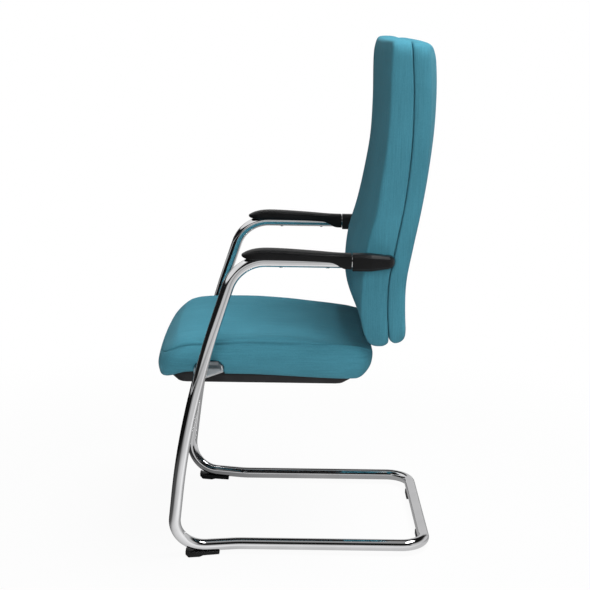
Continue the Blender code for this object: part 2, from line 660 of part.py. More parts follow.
def make_pan(bracket_clearances):
    """The pan, open at the top, with a boss for each screw into the board."""
    middle_y, half_y = (PAN_FRONT_Y + PAN_REAR_Y) / 2, (PAN_REAR_Y - PAN_FRONT_Y) / 2
    rim_z = SEAT_BOARD_Z - CLEARANCE
    bm = grid_block(edge_stations(PAN_HALF_WIDTH, PAN_R, 2), edge_stations(half_y, PAN_R, 2),
                    (0.0, PAN_RIM_SHARE, 1.0))
    for vert in bm.verts:
        level = vert.co.z
        draft = max(0.0, 1.0 - level / PAN_RIM_SHARE)
        half_x = PAN_HALF_WIDTH - draft * PAN_DRAFT_X
        x, y = rounded(vert.co.x, vert.co.y, PAN_HALF_WIDTH, half_y, PAN_R)
        draft_y = PAN_DRAFT_FRONT if y < 0 else PAN_DRAFT_REAR
        x *= half_x / PAN_HALF_WIDTH
        y *= 1.0 - draft * draft_y / half_y
        vert.co = (x, y + middle_y, PAN_Z + level * (rim_z - PAN_Z))
    top = [f for f in bm.faces if f.calc_center_median().z > rim_z - 1e-6]
    bmesh.ops.delete(bm, geom=top, context="FACES")
    bmesh.ops.recalc_face_normals(bm, faces=bm.faces)
    if sum(f.normal.z for f in bm.faces) > 0:
        bmesh.ops.reverse_faces(bm, faces=bm.faces)
    bmesh.ops.solidify(bm, geom=bm.faces[:], thickness=PAN_WALL)
    pan = add_part("seat_pan", to_mesh(bm, "seat_pan"), "black_plastic")

    holes = []
    for side, label in ((-1, "right"), (1, "left")):
        for index, y in enumerate(PAN_BOSS_Y, start=1):
            x = side * PAN_BOSS_X
            boss = cylinder_mesh("pan_boss", (x, y, PAN_Z + PAN_WALL * 0.5), (x, y, rim_z - CLEARANCE),
                                 PAN_BOSS_R, 12)
            boolean(pan, add_cutter("pan_boss", boss), "UNION")
            head_z = PAN_Z + PAN_SCREW_HEAD_HEIGHT + 0.001
            sink = cylinder_mesh("pan_screw_sink", (x, y, PAN_Z - EPS), (x, y, head_z + CLEARANCE),
                                 PAN_SCREW_HEAD_R + CLEARANCE, 12)
            boolean(pan, add_cutter("pan_screw_sink", sink))
            length = SEAT_BOARD_Z + PAN_SCREW_BITE - head_z
            add_part(f"pan_screw_{label}_{index}",
                     bolt_mesh("pan_screw", (x, y, head_z), (0, 0, 1), length, PAN_SCREW_R,
                               PAN_SCREW_HEAD_R, PAN_SCREW_HEAD_HEIGHT, 10), "steel")
            hole = add_cutter("pan_screw_hole", cylinder_mesh(
                "pan_screw_hole", (x, y, head_z), (x, y, head_z + length + CLEARANCE),
                PAN_SCREW_R + CLEARANCE, 10))
            boolean(pan, hole)
            holes.append(hole)
    for cutter in bracket_clearances:
        boolean(pan, cutter)
    return holes


# Steel bars inside the upholstery, from the seat board to the back board

def link_path():
    board_front = BACK_BOARD_THICKNESS / 2 + BOARD_STANDOFF + LINK_THICKNESS / 2
    path = [Vector((LINK_FRONT_Y, LINK_Z)), Vector((LINK_KNEE_Y, LINK_Z))]
    for z in spread(LINK_BACK_FOOT_Z, LINK_BACK_TOP_Z, 3):
        path.append(Vector((line_at(SEAM_LINE, z) - board_front, z)))
    return path


def strip_outline(path, half, extra=0.0):
    """The outline of a strip along a flat path, with something extra on its right side."""
    left, right = [], []
    for i, point in enumerate(path):
        directions = []
        if i:
            directions.append((point - path[i - 1]).normalized())
        if i < len(path) - 1:
            directions.append((path[i + 1] - point).normalized())
        along = sum(directions, Vector((0, 0))).normalized()
        normal = Vector((-along.y, along.x))
        stretch = half / normal.dot(Vector((-directions[0].y, directions[0].x)))
        left.append(point + normal * stretch)
        right.append(point - normal * stretch * (1.0 + extra / half))
    return [(p.x, p.y) for p in left + right[::-1]]


def link_mesh(name, side, grow=0.0, extra=0.0):
    path = link_path()
    first = (path[0] - path[1]).normalized()
    last = (path[-1] - path[-2]).normalized()
    path[0] = path[0] + first * grow
    path[-1] = path[-1] + last * grow
    return flat_mesh(name, strip_outline(path, LINK_THICKNESS / 2 + grow, extra),
                     LINK_WIDTH + 2 * grow, standing(side * LINK_X))


def make_links():
    """Returns the cutters for the cushions, the seat board and the back board."""
    grooves, seat_holes, back_holes = [], [], []
    for side, label in ((-1, "right"), (1, "left")):
        link = add_part(f"back_link_{label}", link_mesh("back_link", side), "steel")
        to_board = BOARD_STANDOFF + BACK_BOARD_THICKNESS / 4
        grooves.append(add_cutter("link_groove", link_mesh("link_groove", side, CLEARANCE,
                                                           to_board)))
        for index, y in enumerate(LINK_SEAT_BOLT_Y, start=1):
            base = Vector((side * LINK_X, y, SEAT_BOARD_Z - CLEARANCE))
            length = LINK_Z + LINK_THICKNESS / 2 - base.z
            add_part(f"link_seat_bolt_{label}_{index}",
                     bolt_mesh("link_seat_bolt", base, (0, 0, 1), length, BOLT_R, BOLT_HEAD_R,
                               BOLT_HEAD_HEIGHT), "steel")
            hole = add_cutter("link_bolt_hole", cylinder_mesh(
                "link_bolt_hole", base - Vector((0, 0, EPS)),
                base + Vector((0, 0, length + EPS)), BOLT_R + CLEARANCE, 12))
            boolean(link, hole)
            seat_holes.append(hole)
        for index, z in enumerate(LINK_BACK_BOLT_Z, start=1):
            seam = line_at(SEAM_LINE, z)
            head_y = seam + BACK_BOARD_THICKNESS / 2 - BOLT_HEAD_HEIGHT - 0.001
            x = side * LINK_X
            link_face = seam - BACK_BOARD_THICKNESS / 2 - BOARD_STANDOFF - LINK_THICKNESS
            length = head_y - link_face - BOLT_SHY
            add_part(f"link_back_bolt_{label}_{index}",
                     bolt_mesh("link_back_bolt", (x, head_y, z), (0, -1, 0), length, BOLT_R,
                               BOLT_HEAD_R, BOLT_HEAD_HEIGHT), "steel")
            hole = add_cutter("link_bolt_hole", cylinder_mesh(
                "link_bolt_hole", (x, head_y, z), (x, link_face - EPS * 4, z),
                BOLT_R + CLEARANCE, 12))
            boolean(link, hole)
            sink = add_cutter("link_bolt_sink", cylinder_mesh(
                "link_bolt_sink", (x, head_y - CLEARANCE, z),
                (x, seam + BACK_BOARD_THICKNESS, z), BOLT_HEAD_R + CLEARANCE, 12))
            back_holes.extend((hole, sink))
    return grooves, seat_holes, back_holes


# Backrest board

def back_board_mesh(name, grow=0.0):
    half_x = BACK_BOARD_HALF_WIDTH + grow
    low, high = BACK_BOARD_BOTTOM_Z - grow, BACK_BOARD_TOP_Z + grow
    middle, half_z = (low + high) / 2, (high - low) / 2
    half_thickness = BACK_BOARD_THICKNESS / 2 + grow
    zs = [-half_z, -half_z + BACK_BOARD_R / 2, *spread(-half_z + BACK_BOARD_R, half_z - BACK_BOARD_R, 7),
          half_z - BACK_BOARD_R / 2, half_z]
    bm = grid_block(edge_stations(half_x, BACK_BOARD_R, 2), (-1.0, 1.0), zs)
    for vert in bm.verts:
        x, z = rounded(vert.co.x, vert.co.z, half_x, half_z, BACK_BOARD_R)
        z += middle
        vert.co = (x, line_at(SEAM_LINE, z) + vert.co.y * half_thickness, z)
    return to_mesh(bm, name)


def make_back_board(holes):
    board = add_part("back_board", back_board_mesh("back_board"), "plywood")
    for hole in holes:
        boolean(board, hole)
    return add_cutter("back_board_pocket", back_board_mesh("back_board_pocket", CLEARANCE))


# Arm brackets, collars and pads

def plate_outline(side, grow=0.0):
    """Plan of the plate from the plug in the tube to the front face of the back board."""
    seam = line_at(SEAM_LINE, ARM_Z)
    board_y = seam - BACK_BOARD_THICKNESS / 2 - PLATE_THICKNESS / 2
    path = [Vector((ARM_HALF_WIDTH, ARM_END_Y - 0.004)), Vector((ARM_HALF_WIDTH, PLATE_TURN_Y)),
            Vector((ARM_HALF_WIDTH - 0.030, board_y)), Vector((PLATE_INNER_X - grow, board_y))]
    return [(side * x, y) for x, y in strip_outline(path, PLATE_THICKNESS / 2 + grow)]


def make_arm_brackets():
    plate_clearances, board_cuts = [], []
    seam = line_at(SEAM_LINE, ARM_Z)
    board_front = seam - BACK_BOARD_THICKNESS / 2
    for side, label in ((-1, "right"), (1, "left")):
        plate = flat_mesh("arm_bracket", plate_outline(side), 2 * PLATE_HALF_HEIGHT, lying(ARM_Z))
        bracket = add_part(f"arm_bracket_{label}", plate, "steel")
        x = side * ARM_HALF_WIDTH
        plug = cylinder_mesh("arm_plug", (x, PLUG_FRONT_Y, ARM_Z), (x, ARM_END_Y + 0.004, ARM_Z),
                             PLUG_R, 16)
        boolean(bracket, add_cutter("arm_plug", plug), "UNION")
        neck = cylinder_mesh("arm_plug_neck", (x, ARM_END_Y - 0.012, ARM_Z),
                             (x, ARM_END_Y + 0.002, ARM_Z), TUBE_R + 0.008, 16)
        inner = cylinder_mesh("arm_plug_core", (x, ARM_END_Y - 0.013, ARM_Z),
                              (x, ARM_END_Y + 0.003, ARM_Z), PLUG_R, 16)
        ring = add_cutter("arm_plug_neck", neck)
        boolean(ring, add_cutter("arm_plug_core", inner))
        boolean(bracket, ring)
        grown = flat_mesh("plate_clearance", plate_outline(side, CLEARANCE),
                          2 * (PLATE_HALF_HEIGHT + CLEARANCE), lying(ARM_Z))
        plate_clearances.append(add_cutter("plate_clearance", grown))
        plug_room = cylinder_mesh("plug_clearance", (x, ARM_END_Y - EPS, ARM_Z),
                                  (x, ARM_END_Y + 0.004 + CLEARANCE, ARM_Z),
                                  PLUG_R + CLEARANCE, 16)
        plate_clearances.append(add_cutter("plug_clearance", plug_room))
        for index, bolt_x in enumerate(ARM_BOLT_X, start=1):
            head_y = seam + BACK_BOARD_THICKNESS / 2 - BOLT_HEAD_HEIGHT - 0.001
            far_y = board_front - PLATE_THICKNESS + BOLT_SHY
            at = side * bolt_x
            add_part(f"arm_bolt_{label}_{index}",
                     bolt_mesh("arm_bolt", (at, head_y, ARM_Z), (0, -1, 0), head_y - far_y, BOLT_R,
                               BOLT_HEAD_R, BOLT_HEAD_HEIGHT), "steel")
            hole = add_cutter("arm_bolt_hole", cylinder_mesh(
                "arm_bolt_hole", (at, head_y, ARM_Z), (at, far_y - EPS * 4, ARM_Z),
                BOLT_R + CLEARANCE, 12))
            boolean(bracket, hole)
            sink = add_cutter("arm_bolt_sink", cylinder_mesh(
                "arm_bolt_sink", (at, head_y - CLEARANCE, ARM_Z),
                (at, seam + BACK_BOARD_THICKNESS, ARM_Z), BOLT_HEAD_R + CLEARANCE, 12))
            board_cuts.extend((hole, sink))
            plate_clearances.append(add_cutter("arm_bolt_room", cylinder_mesh(
                "arm_bolt_room", (at, board_front - PLATE_THICKNESS / 2, ARM_Z),
                (at, seam - SEAM_GAP, ARM_Z), BOLT_R + 2 * CLEARANCE, 12)))
        near, far = side * (PLATE_INNER_X - CLEARANCE), side * (BACK_BOARD_HALF_WIDTH + 0.01)
        seat = box_mesh("plate_seat",
                        (min(near, far), board_front - 0.02, ARM_Z - PLATE_HALF_HEIGHT - CLEARANCE),
                        (max(near, far), board_front + CLEARANCE, ARM_Z + PLATE_HALF_HEIGHT + CLEARANCE))
        board_cuts.insert(0, add_cutter("plate_seat", seat))
    return plate_clearances, board_cuts


def make_collars(tube_clearance, plate_clearances):
    for side, label in ((-1, "right"), (1, "left")):
        stations = (COLLAR_FRONT_Y, COLLAR_TAPER_Y, COLLAR_REAR_Y, COLLAR_SNOUT_Y)
        reach = ARM_HALF_WIDTH - BACK_HALF_WIDTH - COLLAR_SIDE_GAP
        outers = (COLLAR_HALF_WIDTH, COLLAR_HALF_WIDTH, COLLAR_REAR_OUTER, COLLAR_SNOUT_OUTER)
        inners = (COLLAR_HALF_WIDTH, COLLAR_HALF_WIDTH, reach, reach)
        heights = (COLLAR_HALF_HEIGHT, COLLAR_HALF_HEIGHT, COLLAR_REAR_HALF_HEIGHT,
                   COLLAR_SNOUT_HALF_HEIGHT)
        bm = grid_block((-1.0, 1.0), (0.0, 1.0, 2.0, 3.0), (-1.0, 1.0))
        for vert in bm.verts:
            k = round(vert.co.y)
            across = outers[k] if vert.co.x > 0 else -inners[k]
            vert.co = (side * (ARM_HALF_WIDTH + across), stations[k],
                       ARM_Z + vert.co.z * heights[k])
        collar = add_part(f"arm_collar_{label}", to_mesh(bm, "arm_collar"), "black_plastic")
        bevel(collar, COLLAR_BEVEL, segments=2, angle=40.0)
        boolean(collar, tube_clearance)
        for cutter in plate_clearances:
            boolean(collar, cutter)


def make_pads(tube_clearance):
    ys = (PAD_TIP_Y, PAD_TIP_Y + 0.007, PAD_TIP_Y + 0.020, PAD_TIP_Y + 0.055,
          PAD_REAR_Y - 0.0975, PAD_CLIP_Y - 0.004, PAD_CLIP_Y + 0.004, PAD_REAR_Y - 0.003,
          PAD_REAR_Y)
    low, high = pad_screw_span()
    for side, label in ((-1, "right"), (1, "left")):
        bm = grid_block((-1.0, -0.8, 0.0, 0.8, 1.0), tuple(range(len(ys))),
                        (0.0, 0.5, 1.0))
        for vert in bm.verts:
            k = round(vert.co.y)
            y = ys[k]
            nose = min(1.0, math.sqrt(max(0.0, (y - PAD_TIP_Y + 0.004) / 0.040)))
            half = PAD_HALF_WIDTH * nose
            top, hem = line_at(PAD_TOP_LINE, y), line_at(PAD_HEM_LINE, y)
            if y >= PAD_CLIP_Y:
                hem = ARM_Z - TUBE_R - CLEARANCE - PAD_CLIP_WALL
                half *= 1.0 - 0.22 * (1.0 - vert.co.z)
            crown = 0.0045 * (1.0 - vert.co.x ** 2)
            z = hem + (top - 0.0045 + crown - hem) * vert.co.z if vert.co.z > 0.6 else \
                hem + (top - hem) * 0.5 * (vert.co.z / 0.5)
            vert.co = (side * (ARM_HALF_WIDTH + vert.co.x * half), y, z)
        pad = add_part(f"arm_pad_{label}", to_mesh(bm, "arm_pad"), "black_plastic")
        subdivide(pad)
        boolean(pad, tube_clearance)
        for index, y in enumerate(PAD_SCREW_Y, start=1):
            x = side * ARM_HALF_WIDTH
            base = (x, y, low + PAD_SCREW_HEAD_HEIGHT)
            length = high - base[2]
            add_part(f"pad_screw_{label}_{index}",
                     bolt_mesh("pad_screw", base, (0, 0, 1), length, PAD_SCREW_R,
                               PAD_SCREW_HEAD_R, PAD_SCREW_HEAD_HEIGHT, 10), "steel")
            hole = cylinder_mesh("pad_screw_pilot", (x, y, ARM_Z), (x, y, high + CLEARANCE),
                                 PAD_SCREW_R + CLEARANCE, 10)
            boolean(pad, add_cutter("pad_screw_pilot", hole))


# Upholstery

def make_seat_cushion(board_pocket, grooves):
    front_y = SEAT_FRONT_Y - CAGE_MARGIN - SEAT_LEAN_MARGIN
    middle_y = (front_y + SEAT_FRONT_BOW + SEAT_REAR_Y) / 2
    half_y = SEAT_REAR_Y - middle_y
    half_x = SEAT_HALF_WIDTH + CAGE_MARGIN
    # height and how far the side draws in there: hem, border, crease, pad side, pad edge
    levels = ((SEAT_HEM_Z, 0.014), (SEAT_HEM_Z + 0.026, 0.000), (SEAT_CREASE_Z, 0.023),
              (SEAT_CREASE_Z + 0.008, 0.013), (SEAT_TOP_Z - 0.014, 0.030))
    bm = grid_block(edge_stations(half_x, SEAT_FRONT_R, 3), edge_stations(half_y, SEAT_FRONT_R, 4),
                    tuple(range(len(levels))))
    for vert in bm.verts:
        z, inset = levels[round(vert.co.z)]
        radius = SEAT_FRONT_R if vert.co.y < 0 else SEAT_REAR_R
        x0, y0 = vert.co.x, vert.co.y
        if y0 > 0 and abs(y0) < half_y and abs(y0) > half_y - SEAT_FRONT_R - 1e-6:
            y0 = math.copysign(half_y - (half_y - abs(y0)) * SEAT_REAR_R / SEAT_FRONT_R, y0)
        x, y = rounded(x0, y0, half_x, half_y, radius)
        u, v = x / half_x, y / half_y
        if v < 0:
            y -= SEAT_FRONT_BOW * (1.0 - u ** 2) * min(1.0, -v * 1.5)
        scale_x, scale_y = 1.0 - inset / half_x, 1.0 - inset / half_y
        if v < 0:
            rise = max(0.0, z - SEAT_HEM_Z - 0.026) / (SEAT_CREASE_Z - SEAT_HEM_Z - 0.026)
            y += SEAT_FRONT_LEAN * rise ** 2 * max(0.0, (-v - 0.4) / 0.6) ** 2
        if z < SEAT_CREASE_Z - EPS:
            front = max(0.0, min(1.0, (-v - 0.80) / 0.15))
            z -= SEAT_HEM_FRONT_DROP * front ** 2 * (3 - 2 * front) * (1.0 if z < SEAT_HEM_Z + EPS
                                                                      else 0.5)
        if z > SEAT_CREASE_Z + 0.009:
            dome = (1.0 - abs(u) ** 2.4) * (1.0 - abs(v) ** 3.0)
            z += 0.014 * dome
            z -= SEAT_DISH_DROP * max(0.0, v) ** 1.5 + SEAT_WATERFALL * max(0.0, -v - 0.60)
        if z >= SEAT_CREASE_Z - EPS:
            tuck = max(0.0, min(1.0, (v * half_y - (half_y - SEAT_TUCK_LENGTH)) / SEAT_TUCK_LENGTH))
            z -= SEAT_TUCK_DROP * tuck ** 2 * (3 - 2 * tuck)
        vert.co = (x * scale_x, y * scale_y + middle_y, z)
    cushion = add_part("seat_cushion", to_mesh(bm, "seat_cushion", smooth_angle=60), "fabric")
    subdivide(cushion)
    boolean(cushion, board_pocket)
    for groove in grooves:
        boolean(cushion, groove)
    for side in (-1, 1):
        near, far = side * SEAT_BOARD_HALF_WIDTH, side * (SEAT_HALF_WIDTH + 0.03)
        low = (min(near, far), NOTCH_FRONT_Y, SEAT_HEM_Z - 0.01)
        high = (max(near, far), NOTCH_REAR_Y, NOTCH_TOP_Z)
        boolean(cushion, add_cutter("bracket_notch", box_mesh("bracket_notch", low, high)))
    return cushion


def back_half_width(z):
    t = (z - BACK_BOTTOM_Z) / (BACK_TOP_Z - BACK_BOTTOM_Z)
    return BACK_HALF_WIDTH - BACK_WAIST * 4.0 * t * (1.0 - t)


def back_cushion_mesh(name, top_z, z_steps, surface, side_levels):
    """A cushion on one side of the seam face. surface(u, z) is the outer face's Y."""
    middle = (BACK_BOTTOM_Z + top_z) / 2
    half_z = top_z - middle
    xs = edge_stations(BACK_HALF_WIDTH, BACK_CORNER_R, 4)
    zs = [-half_z, -half_z + BACK_CORNER_R / 2,
          *spread(-half_z + BACK_CORNER_R, half_z - BACK_CORNER_R, z_steps),
          half_z - BACK_CORNER_R / 2, half_z]
    bm = grid_block(xs, tuple(range(len(side_levels))), zs)
    for vert in bm.verts:
        depth, inset = side_levels[round(vert.co.y)]
        x, z = rounded(vert.co.x, vert.co.z, BACK_HALF_WIDTH, half_z, BACK_CORNER_R)
        u = x / BACK_HALF_WIDTH
        z += middle
        half = back_half_width(z) - inset
        t = (z - middle) / half_z
        z_in = middle + (z - middle) * (1.0 - inset / half_z)
        seam_y = line_at(SEAM_LINE, z_in)
        outer_y = surface(u, t, z_in)
        start = seam_y + math.copysign(SEAM_GAP / 2, outer_y - seam_y)
        vert.co = (u * half, start + (outer_y - start) * depth, z_in)
    return to_mesh(bm, name, smooth_angle=60)


def make_back_cushions(board_pocket, grooves, plate_clearances):
    def front_surface(u, t, z):
        crown = 1.0 - abs(u) ** 2.2
        side, centre = line_at(BORDER_LINE, z), line_at(FRONT_LINE, z)
        return side + (centre - side) * crown

    def rear_surface(u, t, z):
        crown = (1.0 - abs(u) ** 2.2) * (1.0 - abs(t) ** 6)
        side = line_at(SEAM_LINE, z) + REAR_BORDER_DEPTH
        centre = line_at(REAR_LINE, z)
        edge = min(side, centre)
        return edge + (centre - edge) * crown

    side_levels = ((0.0, 0.001), (0.55, -0.001), (1.0, 0.007))
    front = add_part("back_front_cushion", back_cushion_mesh(
        "back_front_cushion", BACK_TOP_Z, 6, front_surface, side_levels), "fabric")
    rear = add_part("back_rear_cushion", back_cushion_mesh(
        "back_rear_cushion", REAR_TOP_Z, 6, rear_surface, side_levels), "fabric")
    slits = []
    for side in (-1, 1):
        seam = line_at(SEAM_LINE, ARM_Z)
        lean = (line_at(SEAM_LINE, ARM_Z + 0.02) - line_at(SEAM_LINE, ARM_Z - 0.02)) / 0.04
        outline = [(seam - lean * SLIT_HALF_HEIGHT, ARM_Z - SLIT_HALF_HEIGHT),
                   (seam - SLIT_HALF_GAP - lean * 0.016, ARM_Z - 0.018),
                   (seam - SLIT_HALF_GAP + lean * 0.016, ARM_Z + 0.018),
                   (seam + lean * SLIT_HALF_HEIGHT, ARM_Z + SLIT_HALF_HEIGHT),
                   (seam + SLIT_HALF_GAP * 0.5 + lean * 0.016, ARM_Z + 0.016),
                   (seam + SLIT_HALF_GAP * 0.5 - lean * 0.016, ARM_Z - 0.016)]
        depth = BACK_HALF_WIDTH + 0.010 - SLIT_DEPTH_X
        slit = flat_mesh("arm_slit", outline, depth, standing(side * (SLIT_DEPTH_X + depth / 2)))
        slits.append(add_cutter("arm_slit", slit))
    for cushion in (front, rear):
        subdivide(cushion)
    for cutter in (*grooves, *plate_clearances):
        boolean(front, cutter)
    for cushion in (front, rear):
        boolean(cushion, board_pocket)
        for cutter in slits:
            boolean(cushion, cutter)


def main():
    tube_clearance = make_frame()
    make_glides(tube_clearance)
    seat_steel = make_seat_steel(tube_clearance)
    pan_holes = make_pan(seat_steel["brackets"])
    grooves, link_seat_holes, link_back_holes = make_links()
    seat_pocket = make_seat_board([*seat_steel["bolts"], *pan_holes, *link_seat_holes])
    plate_clearances, arm_bracket_cuts = make_arm_brackets()
    back_pocket = make_back_board([*link_back_holes, *arm_bracket_cuts])
    make_collars(tube_clearance, plate_clearances)
    make_pads(tube_clearance)
    make_seat_cushion(seat_pocket, grooves)
    make_back_cushions(back_pocket, grooves, plate_clearances)


main()
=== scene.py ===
"""Dresses a cantilever visitor armchair: its smooth chromed tube, upholstery, arm pads and
collars, and the studio it is shown in."""

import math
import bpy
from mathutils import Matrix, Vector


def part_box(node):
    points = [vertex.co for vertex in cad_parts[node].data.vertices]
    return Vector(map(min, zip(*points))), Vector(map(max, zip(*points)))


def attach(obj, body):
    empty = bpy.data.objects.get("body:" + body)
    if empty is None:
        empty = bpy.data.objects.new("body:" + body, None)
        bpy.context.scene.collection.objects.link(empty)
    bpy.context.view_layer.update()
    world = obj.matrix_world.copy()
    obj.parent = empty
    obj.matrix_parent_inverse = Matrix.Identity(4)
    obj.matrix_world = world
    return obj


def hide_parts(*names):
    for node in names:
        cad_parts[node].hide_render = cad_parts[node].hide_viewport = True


bl_info = {
    "name": "Visitor Armchair Dressing",
    "version": (1, 0, 0),
    "blender": (4, 5, 0),
    "location": "View3D > Sidebar > Armchair",
    "description": "Builds the upholstery, tube and mouldings of a cantilever visitor armchair",
    "category": "Object",
}

import bmesh
import bpy
from bpy.props import FloatProperty, FloatVectorProperty, IntProperty, PointerProperty
from mathutils import Matrix, Vector

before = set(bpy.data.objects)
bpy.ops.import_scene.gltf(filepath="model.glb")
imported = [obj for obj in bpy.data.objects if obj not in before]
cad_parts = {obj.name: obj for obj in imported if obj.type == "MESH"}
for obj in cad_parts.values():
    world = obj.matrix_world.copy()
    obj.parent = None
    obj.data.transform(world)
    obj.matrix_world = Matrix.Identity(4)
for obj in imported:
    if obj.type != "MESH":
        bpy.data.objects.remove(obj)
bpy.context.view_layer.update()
BODY = "root"
SIDES = ((-1, "right"), (1, "left"))


def node_size(node):
    low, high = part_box(node)
    return high - low


def length(name, description, default):
    """A size in metres."""
    return FloatProperty(name=name, description=description, default=default, unit="LENGTH")


def angle(name, description, default):
    return FloatProperty(name=name, description=description, default=default, subtype="ANGLE")


class TubeSizes(bpy.types.PropertyGroup):
    """Bends of the frame tube"""

    radius: length("Tube radius", "Outer radius of the frame tube", 0.0125)
    sides: IntProperty(name="Sides", description="Flats round the tube", default=40, min=12)
    lift: length("Rail lift", "Floor to the underside of the floor rails", 0.008)
    rear_y: length("Rear bar", "Place of the rear floor bar's axis", 0.286)
    rail_half: length("Rail offset", "Floor rail to the chair's middle", 0.218)
    corner_bend: length("Rear bend", "Radius of the rear floor corners", 0.054)
    flare_y: length("Flare start", "Where the rails begin to flare out", -0.119)
    flare_bend: length("Flare bend", "Radius of the flare in the rails", 0.120)
    foot_half: length("Foot offset", "Front foot to the chair's middle", 0.244)
    foot_y: length("Foot place", "Where rail and leg would cross", -0.259)
    foot_rise: length("Foot rise", "How far the rail climbs to its foot", 0.0015)
    foot_bend: length("Foot bend", "Radius of the bend at the foot", 0.070)
    bow_half: length("Leg bow", "Corner of the bowed leg to the middle", 0.317)
    bow_y: length("Bow place", "Corner of the bowed leg along the chair", -0.224)
    bow_z: length("Bow height", "Height of the bowed leg's corner", 0.341)
    bow_bend: length("Bow bend", "Radius of the bowed leg", 0.800)
    arm_half: length("Arm offset", "Arm to the chair's middle", 0.2555)
    arm_z: length("Arm height", "Height of the arm tube's axis", 0.6485)
    arm_front: length("Arm front", "Where leg and arm would cross", -0.125)
    arm_end: length("Arm end", "Where the arm tube ends", 0.142)
    arm_bend: length("Arm bend", "Radius of the bend at the arm's front", 0.081)


class CoverSizes(bpy.types.PropertyGroup):
    """Upholstery"""

    seat_half: length("Seat half width", "Middle to the seat's side", 0.236)
    seat_front: length("Seat front", "Front edge beside the corners", -0.2900)
    seat_rear: length("Seat rear", "Rear edge of the seat", 0.1618)
    seat_bow: length("Seat bow", "Bow of the front edge", 0.0080)
    seat_taper: length("Seat taper", "How far each side draws in at the rear", 0.006)
    seat_settle: length("Settled side", "Rise of the left edge over the right", 0.0080)
    back_half: length("Back half width", "Middle to the backrest's side", 0.228)
    back_waist: length("Back waist", "How far the sides draw in", 0.004)
    thread: length("Thread pitch", "Spacing of the cloth's threads", 0.0011)


def tint(name, description, default):
    return FloatVectorProperty(name=name, description=description, default=default, size=3,
                               subtype="COLOR")


class FinishColours(bpy.types.PropertyGroup):
    """Colours, in linear values"""

    cloth: tint("Cloth", "Upholstery cloth", (0.0650, 0.254, 0.334))
    plastic: tint("Plastic", "Pads, collars and glides", (0.0045, 0.0045, 0.0048))
    chrome: tint("Chrome", "Plated tube", (0.82, 0.82, 0.83))


class StudioSizes(bpy.types.PropertyGroup):
    """Camera and light"""

    camera_place: FloatVectorProperty(name="Camera", description="Place of the camera",
                                      subtype="TRANSLATION", size=3,
                                      default=(2.8386, -0.0290, 1.1504))
    camera_yaw: angle("Yaw", "Turn from straight along -X", -0.0091)
    camera_pitch: angle("Pitch", "Downward tilt", 0.2179)
    camera_roll: angle("Roll", "Turn about the view", 0.0168)
    focal_pixels: FloatProperty(name="Focal length", description="In pixels of the photograph",
                                default=1300.0)
    photo_pixels: FloatProperty(name="Photo width", description="Width of the photograph",
                                default=590.0)
    world_strength: FloatProperty(name="World", description="Strength of the even light",
                                  default=0.10)


# Shader maths

class Value:
    """A socket that takes part in Python expressions by adding Math nodes."""

    def __init__(self, tree, socket):
        self.tree, self.socket = tree, socket

    def math(self, operation, *others):
        node = self.tree.nodes.new("ShaderNodeMath")
        node.operation = operation
        for slot, value in zip(node.inputs, (self, *others)):
            plug(self.tree, slot, value)
        return Value(self.tree, node.outputs[0])

    def flipped(self, operation, other):
        node = self.tree.nodes.new("ShaderNodeMath")
        node.operation = operation
        plug(self.tree, node.inputs[0], other)
        plug(self.tree, node.inputs[1], self)
        return Value(self.tree, node.outputs[0])

    def __add__(self, other):
        return self.math("ADD", other)

    def __radd__(self, other):
        return self.flipped("ADD", other)

    def __sub__(self, other):
        return self.math("SUBTRACT", other)

    def __rsub__(self, other):
        return self.flipped("SUBTRACT", other)

    def __mul__(self, other):
        return self.math("MULTIPLY", other)

    def __rmul__(self, other):
        return self.flipped("MULTIPLY", other)

    def clamped(self):
        return self.math("MAXIMUM", 0.0).math("MINIMUM", 1.0)

    def between(self, low, high):
        """0 below low, 1 above high and a smooth step between."""
        node = self.tree.nodes.new("ShaderNodeMapRange")
        node.interpolation_type = "SMOOTHSTEP"
        plug(self.tree, node.inputs["Value"], self)
        node.inputs["From Min"].default_value = low
        node.inputs["From Max"].default_value = high
        return Value(self.tree, node.outputs["Result"])


def plug(tree, slot, value):
    if isinstance(value, Value):
        value = value.socket
    if isinstance(value, bpy.types.NodeSocket):
        tree.links.new(value, slot)
    else:
        slot.default_value = value


